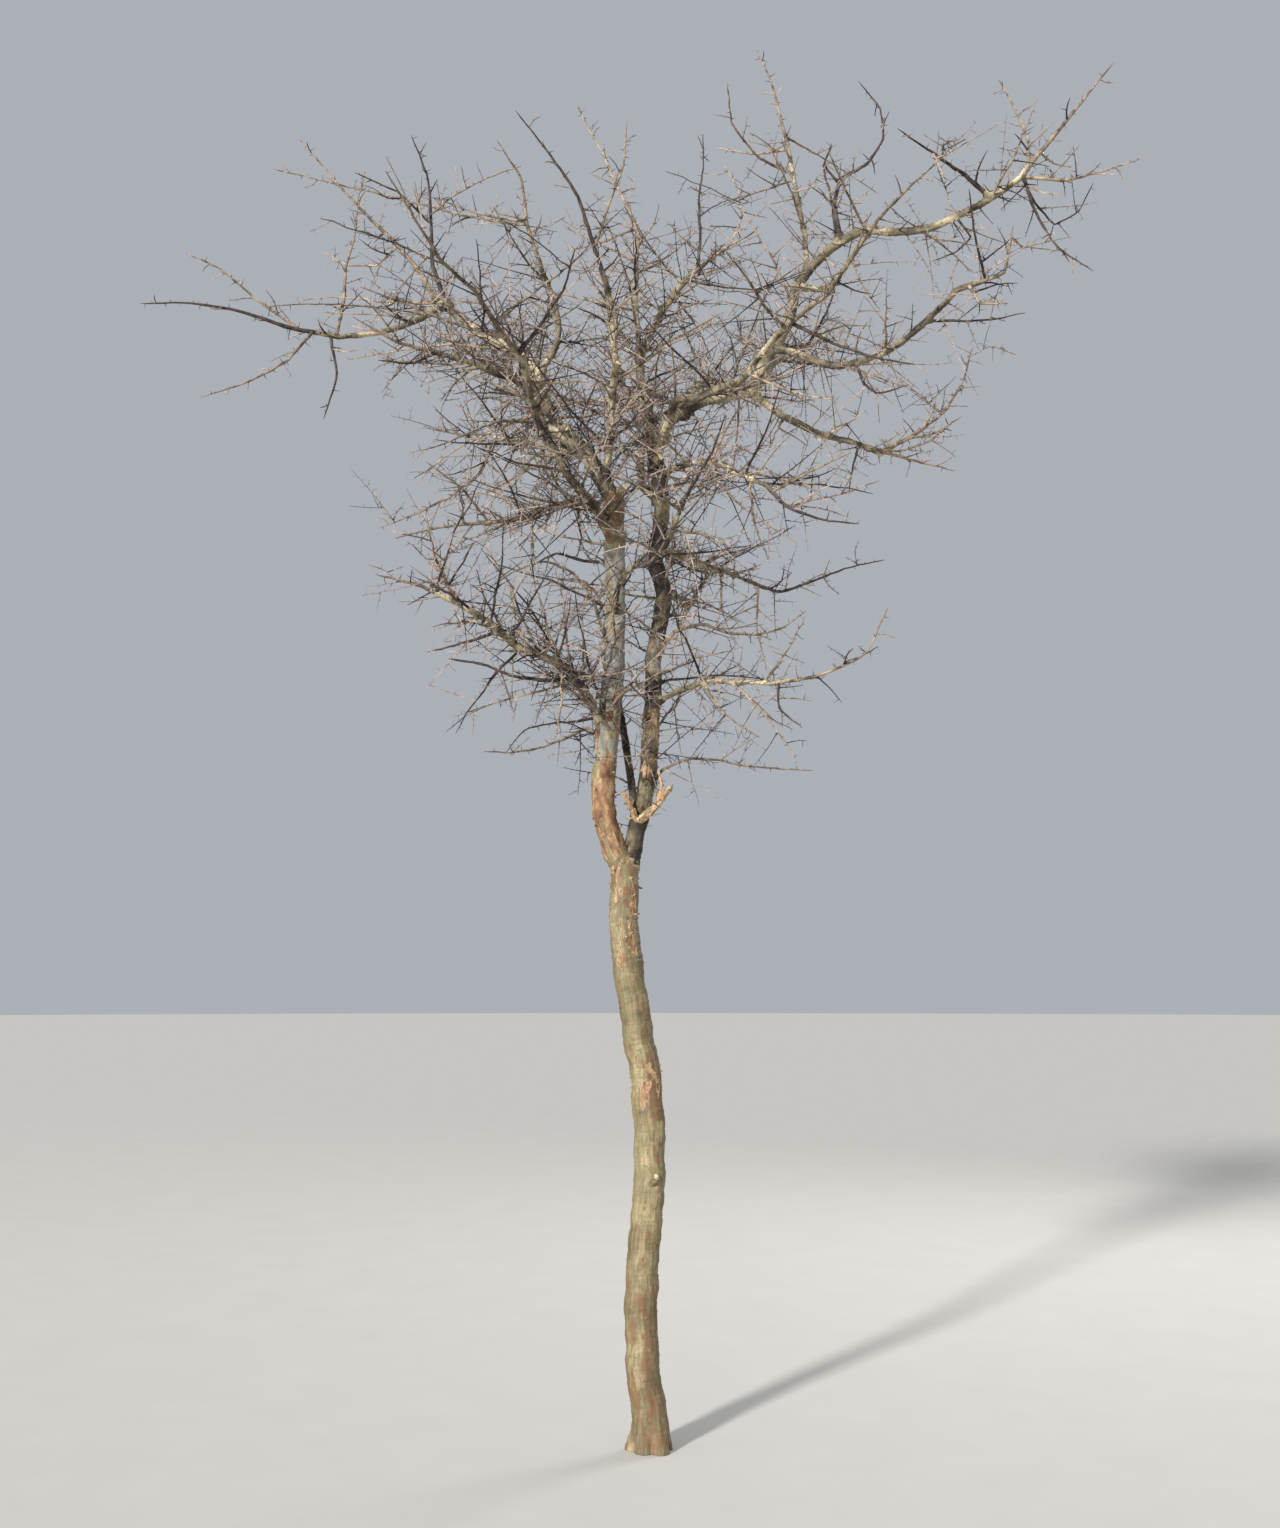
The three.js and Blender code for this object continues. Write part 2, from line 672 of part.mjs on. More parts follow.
function makeMass(mass, own, others, placedLimbs) {
  const twigs = [];
  own.forEach((leader, arm) => {
    const length = leader.points[0].distanceTo(leader.points[leader.points.length - 1]);
    const slots = Math.max(1, Math.round(length / twigSpacing));
    for (let slot = 0; slot < slots; slot += 1) {
      const twig = sideTwig(leader, slot, slots, mass.seed * 1000 + arm * 100 + slot);
      if (isKept(twig, own, others, placedLimbs)) {
        twigs.push(twig);
      }
    }
  });
  const pieces = [...own, ...twigs].map((route) => bentCylinder(route, twigSides));
  return cutClear(wasm.Manifold.union(pieces), placedLimbs);
}

// Bark of the trunk and stems: pale khaki, rough
function trunkBark() {
  return new THREE.MeshStandardMaterial({ color: 0xa0966f, roughness: 0.85, metalness: 0 });
}

// Bark of the boughs: a little greyer
function boughBark() {
  return new THREE.MeshStandardMaterial({ color: 0x8d8367, roughness: 0.85, metalness: 0 });
}

// Young wood of the twigs: purplish grey-brown, smoother
function twigBark() {
  return new THREE.MeshStandardMaterial({ color: 0x7f6a5e, roughness: 0.75, metalness: 0 });
}

function meshOf(name, solid, material) {
  const made = solid.getMesh();
  const geometry = new THREE.BufferGeometry();
  geometry.setAttribute('position', new THREE.BufferAttribute(made.vertProperties, made.numProp));
  geometry.setIndex(new THREE.BufferAttribute(made.triVerts, 1));
  geometry.computeVertexNormals();
  const mesh = new THREE.Mesh(geometry, material);
  mesh.name = name;
  return mesh;
}

const tree = new THREE.Group();
tree.name = 'corkwood_tree';

const placed = new Map([[trunk.name, makeTrunk()]]);
limbs.forEach((spec, index) => placed.set(spec.name, makeLimb(spec, index, placed)));
for (const limb of placed.values()) {
  const isBough = limb.name.startsWith('bough');
  tree.add(meshOf(limb.name, limb.solid, isBough ? boughBark() : trunkBark()));
}

const placedLimbs = [...placed.values()];
const leadersOfAll = masses.map((mass) => leadersOf(mass, placed));
masses.forEach((mass, index) => {
  const others = leadersOfAll.filter((_, other) => other !== index);
  const solid = makeMass(mass, leadersOfAll[index], others, placedLimbs);
  tree.add(meshOf(mass.name, solid, twigBark()));
});

export default tree;
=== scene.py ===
import math

import bpy
import numpy as np
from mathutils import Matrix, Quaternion, Vector, noise


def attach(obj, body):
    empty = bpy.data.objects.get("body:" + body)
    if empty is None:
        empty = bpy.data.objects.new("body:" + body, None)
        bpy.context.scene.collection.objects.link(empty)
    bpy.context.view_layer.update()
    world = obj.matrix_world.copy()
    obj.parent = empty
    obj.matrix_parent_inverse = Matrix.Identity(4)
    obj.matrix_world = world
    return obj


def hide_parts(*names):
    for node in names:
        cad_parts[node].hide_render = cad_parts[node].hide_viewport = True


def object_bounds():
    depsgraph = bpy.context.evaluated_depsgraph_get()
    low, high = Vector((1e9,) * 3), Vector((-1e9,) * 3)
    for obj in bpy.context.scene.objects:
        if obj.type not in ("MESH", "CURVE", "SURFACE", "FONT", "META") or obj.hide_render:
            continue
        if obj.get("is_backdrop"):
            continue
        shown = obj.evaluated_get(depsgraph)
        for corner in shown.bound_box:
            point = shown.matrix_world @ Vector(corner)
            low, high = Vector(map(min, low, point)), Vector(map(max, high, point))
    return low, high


# A bare, spiny corkwood tree: a trunk that forks into two stems, crooked boughs under peeling bark,
# and masses of thorny twigs. Metres, +Z up, +X to the right, +Y away from the side it is seen from.
# The origin is the middle of the flat cut under the trunk, at ground level.

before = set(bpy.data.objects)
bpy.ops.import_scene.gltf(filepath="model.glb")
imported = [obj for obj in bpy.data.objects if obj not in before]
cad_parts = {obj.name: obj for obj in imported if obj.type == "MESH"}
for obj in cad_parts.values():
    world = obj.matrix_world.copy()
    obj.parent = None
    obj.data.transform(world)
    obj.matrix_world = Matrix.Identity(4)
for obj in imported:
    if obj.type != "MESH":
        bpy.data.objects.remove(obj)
cadBox = [list(corner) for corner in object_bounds()]
print("frame loaded,", len(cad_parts), "nodes")


# The tree's plan

trunk = {"girth": (0.116, 0.104),
         "route": [(0, 0, 0), (-0.03, 0, 0.45), (0, 0, 1.06), (-0.055, 0, 1.48), (-0.092, 0, 1.78),
                   (-0.084, 0, 1.97)]}

# Limbs: what carries them and how far along it they leave it, thickness across at foot and tip, and route
limbs = [
    {"name": "stem_left", "from": "trunk", "at": 1, "girth": (0.088, 0.072),
     "route": [(-0.152, -0.01, 2.11), (-0.162, -0.015, 2.26), (-0.144, -0.025, 2.47),
               (-0.128, -0.03, 2.68), (-0.124, -0.035, 3.09), (-0.13, -0.05, 3.29)]},
    {"name": "stem_right", "from": "trunk", "at": 0.96, "girth": (0.066, 0.056),
     "route": [(-0.012, 0.03, 2.26), (0.008, 0.045, 2.5), (0.02, 0.055, 2.75), (0.053, 0.065, 2.95),
               (0.02, 0.075, 3.09), (0.046, 0.088, 3.26), (0.02, 0.1, 3.5)]},
    {"name": "bough_left_inner", "from": "stem_left", "at": 1, "girth": (0.066, 0.048),
     "route": [(-0.22, -0.04, 3.44), (-0.33, -0.02, 3.54), (-0.395, -0.01, 3.68), (-0.43, 0.01, 3.81)]},
    {"name": "bough_left_outer", "from": "bough_left_inner", "at": 1, "girth": (0.042, 0.03),
     "route": [(-0.5, 0.03, 3.86), (-0.64, 0.06, 3.95), (-0.8, 0.09, 4.09)]},
    {"name": "bough_left_long", "from": "bough_left_outer", "at": 0.9, "girth": (0.025, 0.019),
     "route": [(-0.88, 0, 3.95), (-0.99, -0.04, 3.895), (-1.12, -0.09, 3.865)]},
    {"name": "bough_left_second", "from": "bough_left_inner", "at": 0.78, "girth": (0.03, 0.019),
     "route": [(-0.5, -0.09, 3.705), (-0.72, -0.24, 3.74)]},
    {"name": "bough_left_level", "from": "bough_left_inner", "at": 0.3, "girth": (0.028, 0.017),
     "route": [(-0.38, 0.1, 3.52), (-0.58, 0.24, 3.6)]},
    {"name": "bough_left_low", "from": "stem_left", "at": 0.93, "girth": (0.026, 0.015),
     "route": [(-0.28, -0.15, 3.24), (-0.36, -0.2, 3.185), (-0.52, -0.29, 3.125)]},
    {"name": "bough_left_mid", "from": "stem_left", "at": 0.36, "girth": (0.036, 0.021),
     "route": [(-0.24, -0.13, 2.59), (-0.38, -0.27, 2.66), (-0.64, -0.43, 2.81)]},
    {"name": "bough_right_inner", "from": "stem_right", "at": 1, "girth": (0.052, 0.047),
     "route": [(0.08, 0.07, 3.61), (0.19, 0.045, 3.665), (0.385, 0, 3.695)]},
    {"name": "bough_right_rise", "from": "bough_right_inner", "at": 1, "girth": (0.046, 0.04),
     "route": [(0.425, -0.03, 3.81), (0.505, -0.07, 3.94), (0.53, -0.1, 4.06)]},
    {"name": "bough_right_crest", "from": "bough_right_rise", "at": 1, "girth": (0.04, 0.034),
     "route": [(0.59, -0.11, 4.125), (0.69, -0.13, 4.205), (0.79, -0.15, 4.25)]},
    {"name": "bough_right_outer", "from": "bough_right_crest", "at": 1, "girth": (0.034, 0.022),
     "route": [(0.98, -0.18, 4.23), (1.17, -0.21, 4.3), (1.32, -0.23, 4.4)]},
    {"name": "bough_right_fork", "from": "bough_right_rise", "at": 1, "girth": (0.03, 0.018),
     "route": [(0.64, -0.18, 4.02), (0.715, -0.245, 4.1)]},
    {"name": "bough_right_upper_mid", "from": "bough_right_rise", "at": 0.42, "girth": (0.029, 0.02),
     "route": [(0.6, -0.17, 3.75), (0.7, -0.24, 3.695), (0.86, -0.38, 3.735), (1.035, -0.52, 3.865)]},
    {"name": "bough_right_lower_mid", "from": "bough_right_inner", "at": 0.97, "girth": (0.031, 0.02),
     "route": [(0.52, 0.11, 3.62), (0.69, 0.24, 3.61), (0.89, 0.35, 3.57)]},
    {"name": "bough_centre", "from": "stem_right", "at": 0.95, "girth": (0.038, 0.025),
     "route": [(0, 0.16, 3.64), (-0.03, 0.21, 3.83), (0.03, 0.3, 4.09), (0.17, 0.38, 4.31)]},
    {"name": "bough_crown_left", "from": "bough_left_inner", "at": 0.12, "girth": (0.03, 0.023),
     "route": [(-0.13, -0.075, 3.63), (-0.13, -0.1, 3.84), (-0.15, -0.14, 4.03)]},
    {"name": "bough_crown_mid", "from": "bough_centre", "at": 0.45, "girth": (0.022, 0.015),
     "route": [(-0.05, 0.225, 4.12), (-0.04, 0.27, 4.42)]},
    {"name": "bough_crown_far_left", "from": "bough_left_inner", "at": 0.9, "girth": (0.026, 0.019),
     "route": [(-0.32, -0.035, 3.9), (-0.39, -0.08, 4.12)]},
    {"name": "bough_crown_right", "from": "bough_right_crest", "at": 0.2, "girth": (0.022, 0.017),
     "route": [(0.56, -0.1, 4.29), (0.53, -0.08, 4.46)]},
    {"name": "bough_right_low", "from": "stem_right", "at": 0.94, "girth": (0.024, 0.015),
     "route": [(0.18, -0.06, 3.405), (0.31, -0.19, 3.32), (0.4, -0.3, 3.25)]},
    {"name": "bough_right_lower", "from": "stem_right", "at": 0.77, "girth": (0.024, 0.015),
     "route": [(0.18, 0.18, 3.1), (0.36, 0.28, 3.06)]},
    {"name": "bough_right_lowest", "from": "stem_right", "at": 0.41, "girth": (0.024, 0.014),
     "route": [(0.18, -0.06, 2.61), (0.42, -0.22, 2.575)]},
    {"name": "bough_front_left", "from": "stem_left", "at": 0.84, "girth": (0.036, 0.021),
     "route": [(-0.19, -0.24, 3.19), (-0.35, -0.49, 3.35), (-0.4, -0.8, 3.5)]},
    {"name": "bough_front_right", "from": "bough_right_inner", "at": 0.12, "girth": (0.036, 0.021),
     "route": [(0.11, -0.17, 3.6), (0.28, -0.43, 3.56), (0.42, -0.7, 3.64)]},
    {"name": "bough_front_low", "from": "stem_left", "at": 0.66, "girth": (0.024, 0.015),
     "route": [(-0.09, -0.22, 2.97), (0.03, -0.43, 2.96), (0.09, -0.62, 3.06)]},
    {"name": "bough_back_left", "from": "bough_left_inner", "at": 0.55, "girth": (0.036, 0.021),
     "route": [(-0.4, 0.21, 3.69), (-0.54, 0.48, 3.95), (-0.64, 0.74, 4.06)]},
    {"name": "bough_back_right", "from": "bough_right_inner", "at": 0.4, "girth": (0.038, 0.021),
     "route": [(0.2, 0.23, 3.81), (0.42, 0.53, 3.9), (0.52, 0.82, 4.11)]},
    {"name": "bough_back_mid", "from": "stem_right", "at": 0.88, "girth": (0.034, 0.02),
     "route": [(-0.04, 0.33, 3.47), (0.02, 0.61, 3.8), (-0.08, 0.88, 3.96)]},
    {"name": "bough_back_low", "from": "stem_right", "at": 0.62, "girth": (0.024, 0.015),
     "route": [(0.09, 0.25, 3), (0.15, 0.49, 3.01), (0.24, 0.7, 3.18)]},
]

# Masses of twigs. Where nothing else is said, one grows from the tip of the bough of the same name
masses = [
    {"name": "twigs_left_far", "from": "bough_left_long",
     "stem": [(-1.3, -0.14, 3.885), (-1.56, -0.21, 3.94), (-1.79, -0.25, 3.925)],
     "arms": [(0.02, [(-1.1, 0, 4.23), (-1.07, 0.1, 4.59)]),
              (0.2, [(-1.45, -0.13, 4.02), (-1.59, -0.09, 4.15), (-1.69, -0.05, 4.2)]),
              (0.14, [(-1.31, -0.23, 3.69), (-1.54, -0.35, 3.545)]),
              (0.05, [(-1.1, -0.17, 3.65), (-1.145, -0.2, 3.52)])]},
    {"name": "twigs_left_top", "from": "bough_left_outer",
     "stem": [(-0.9, 0.13, 4.26), (-1.11, 0.21, 4.5), (-1.36, 0.3, 4.82)],
     "arms": [(0.3, [(-1.1, 0.32, 4.3), (-1.29, 0.42, 4.42)])]},
    {"name": "twigs_left_upright", "from": "bough_left_outer", "at": 0.84,
     "stem": [(-0.82, 0.05, 4.28), (-0.8, 0, 4.46), (-0.87, -0.1, 4.63)],
     "arms": [(0.55, [(-0.62, -0.13, 4.44), (-0.46, -0.2, 4.46)]),
              (0.5, [(-0.93, -0.06, 4.44), (-1.07, -0.12, 4.475)])]},
    {"name": "twigs_crown_far_left",
     "stem": [(-0.455, -0.125, 4.34), (-0.485, -0.17, 4.51), (-0.55, -0.2, 4.56)],
     "arms": [(0.35, [(-0.64, 0.16, 4.43), (-1.08, 0.42, 4.66), (-1.53, 0.6, 4.85)])]},
    {"name": "twigs_crown_left", "stem": [(-0.2, -0.2, 4.18), (-0.3, -0.26, 4.4), (-0.47, -0.35, 4.59)],
     "arms": [(0.22, [(-0.1, -0.25, 4.42), (-0.08, -0.26, 4.6)])]},
    {"name": "twigs_crown_mid", "stem": [(-0.11, 0.35, 4.63), (-0.2, 0.43, 4.86), (-0.29, 0.5, 5.08)],
     "arms": [(0.05, [(-0.18, 0.42, 4.46), (-0.33, 0.56, 4.48)])]},
    {"name": "twigs_centre", "stem": [(0.26, 0.41, 4.39), (0.34, 0.43, 4.47), (0.43, 0.46, 4.52)],
     "arms": [(0.1, [(0.205, 0.44, 4.64), (0.22, 0.5, 4.95)]),
              (0.6, [(0.38, 0.52, 4.69), (0.3, 0.6, 4.88)])]},
    {"name": "twigs_crown_right", "stem": [(0.505, -0.055, 4.62), (0.465, -0.03, 4.84), (0.4, 0, 5.02)],
     "arms": [(0.06, [(0.39, -0.15, 4.53), (0.28, -0.23, 4.62), (0.275, -0.29, 4.73)]),
              (0.25, [(0.4, 0.06, 4.64), (0.25, 0.13, 4.7)])]},
    {"name": "twigs_crest", "from": "bough_right_crest", "at": 0.66,
     "stem": [(0.67, -0.07, 4.44), (0.79, 0.04, 4.57), (0.905, 0.13, 4.77), (0.81, 0.22, 5.02)],
     "arms": [(0.3, [(0.64, -0.01, 4.57), (0.68, 0.02, 4.66)])]},
    {"name": "twigs_right_far", "from": "bough_right_outer",
     "stem": [(1.43, -0.26, 4.53), (1.54, -0.28, 4.67), (1.65, -0.3, 4.8)],
     "arms": [(0.02, [(1.53, -0.19, 4.41), (1.66, -0.14, 4.48), (1.8, -0.1, 4.54)]),
              (0.1, [(1.35, -0.17, 4.64), (1.28, -0.11, 4.84)]),
              (0.04, [(1.39, -0.35, 4.11), (1.51, -0.44, 3.96)])]},
    {"name": "twigs_right_over", "from": "bough_right_outer", "at": 0.8,
     "stem": [(1.14, -0.27, 4.38), (1.01, -0.35, 4.41), (0.85, -0.45, 4.47)],
     "arms": [(0.55, [(1.01, -0.5, 4.39), (1.02, -0.62, 4.34)])]},
    {"name": "twigs_right_fork", "stem": [(0.79, -0.33, 4.18), (0.86, -0.47, 4.23), (0.96, -0.64, 4.26)],
     "arms": [(0.2, [(0.67, -0.44, 4.27), (0.6, -0.56, 4.33)])]},
    {"name": "twigs_right_upper_mid",
     "stem": [(1.12, -0.57, 3.87), (1.19, -0.6, 3.9), (1.2, -0.62, 4.04)],
     "arms": [(0.12, [(1.09, -0.66, 3.75), (1.14, -0.79, 3.7)]),
              (0.3, [(1.06, -0.7, 3.99), (1.02, -0.8, 4.08)])]},
    {"name": "twigs_right_lower_mid",
     "stem": [(1.03, 0.4, 3.665), (1.19, 0.45, 3.81), (1.29, 0.53, 4.08)],
     "arms": [(0.02, [(1.05, 0.4, 3.55), (1.19, 0.45, 3.535)]),
              (0.2, [(1.1, 0.31, 3.64), (1.19, 0.26, 3.69)]),
              (0.9, [(1.39, 0.57, 4.09), (1.48, 0.6, 4.06)])]},
    {"name": "twigs_right_low", "stem": [(0.48, -0.37, 3.145), (0.58, -0.44, 3.09), (0.69, -0.5, 3.06)],
     "arms": [(0.1, [(0.54, -0.42, 3.26), (0.66, -0.54, 3.29)])]},
    {"name": "twigs_right_lower", "stem": [(0.5, 0.35, 3.025), (0.7, 0.41, 3.12), (0.91, 0.45, 3.18)],
     "arms": [(0.1, [(0.4, 0.35, 2.9), (0.45, 0.42, 2.74)])]},
    {"name": "twigs_right_lowest",
     "stem": [(0.56, -0.28, 2.585), (0.71, -0.34, 2.64), (0.8, -0.36, 2.81)],
     "arms": [(0.05, [(0.44, -0.33, 2.47), (0.5, -0.43, 2.39)])]},
    {"name": "twigs_left_second", "stem": [(-0.86, -0.33, 3.75), (-1.01, -0.44, 3.8)],
     "arms": [(0.1, [(-0.8, -0.4, 3.65), (-0.9, -0.56, 3.6)])]},
    {"name": "twigs_left_level", "stem": [(-0.68, 0.34, 3.45), (-0.86, 0.43, 3.38), (-1.05, 0.5, 3.32)],
     "arms": [(0.05, [(-0.72, 0.33, 3.64), (-0.88, 0.42, 3.7)])]},
    {"name": "twigs_left_low",
     "stem": [(-0.64, -0.35, 3.11), (-0.74, -0.4, 3.06), (-0.85, -0.45, 3.025)],
     "arms": [(0.1, [(-0.62, -0.42, 3.2), (-0.74, -0.54, 3.26)])]},
    {"name": "twigs_left_mid", "stem": [(-0.76, -0.48, 2.86), (-0.9, -0.54, 2.88)],
     "arms": [(0.05, [(-0.7, -0.52, 2.94), (-0.72, -0.64, 3.04)])]},
    {"name": "twigs_front_left", "stem": [(-0.51, -1.03, 3.6), (-0.65, -1.3, 3.68), (-0.74, -1.5, 3.79)],
     "arms": [(0.05, [(-0.3, -1.05, 3.57), (-0.22, -1.33, 3.64)]),
              (0.15, [(-0.64, -0.96, 3.58), (-0.88, -1.06, 3.64)])]},
    {"name": "twigs_front_right", "stem": [(0.52, -0.9, 3.66), (0.57, -1.16, 3.64), (0.6, -1.4, 3.68)],
     "arms": [(0.05, [(0.33, -0.95, 3.66), (0.21, -1.2, 3.7)]),
              (0.1, [(0.64, -0.84, 3.52), (0.8, -1, 3.42)])]},
    {"name": "twigs_front_low", "stem": [(0.15, -0.84, 3.12), (0.22, -1.09, 3.23)],
     "arms": [(0.05, [(-0.02, -0.86, 3.11), (-0.11, -1.05, 3.19)])]},
    {"name": "twigs_back_left", "stem": [(-0.73, 0.95, 4.2), (-0.9, 1.2, 4.38), (-1.02, 1.4, 4.58)],
     "arms": [(0.05, [(-0.52, 1.01, 4.22), (-0.45, 1.25, 4.4)]),
              (0.1, [(-0.88, 0.88, 4.13), (-1.15, 1, 4.19)])]},
    {"name": "twigs_back_right", "stem": [(0.62, 1.04, 4.23), (0.78, 1.29, 4.4), (0.9, 1.48, 4.62)],
     "arms": [(0.05, [(0.42, 1.05, 4.28), (0.38, 1.26, 4.52)]),
              (0.1, [(0.76, 0.96, 4.15), (1.06, 1.04, 4.2)])]},
    {"name": "twigs_back_mid", "stem": [(-0.11, 1.09, 4.12), (-0.16, 1.34, 4.33), (-0.17, 1.56, 4.56)],
     "arms": [(0.05, [(0.07, 1.08, 4.06), (0.19, 1.33, 4.13)]),
              (0.1, [(-0.26, 1.08, 4.04), (-0.48, 1.22, 4.06)])]},
    {"name": "twigs_back_low", "stem": [(0.31, 0.88, 3.27), (0.4, 1.13, 3.4)],
     "arms": [(0.05, [(0.13, 0.86, 3.26), (0.06, 1.06, 3.36)])]},
]

for index, mass in enumerate(masses):
    mass.setdefault("from", mass["name"].replace("twigs", "bough"))
    mass.setdefault("at", 1)
    mass["seed"] = 11 + index  # as in the solids

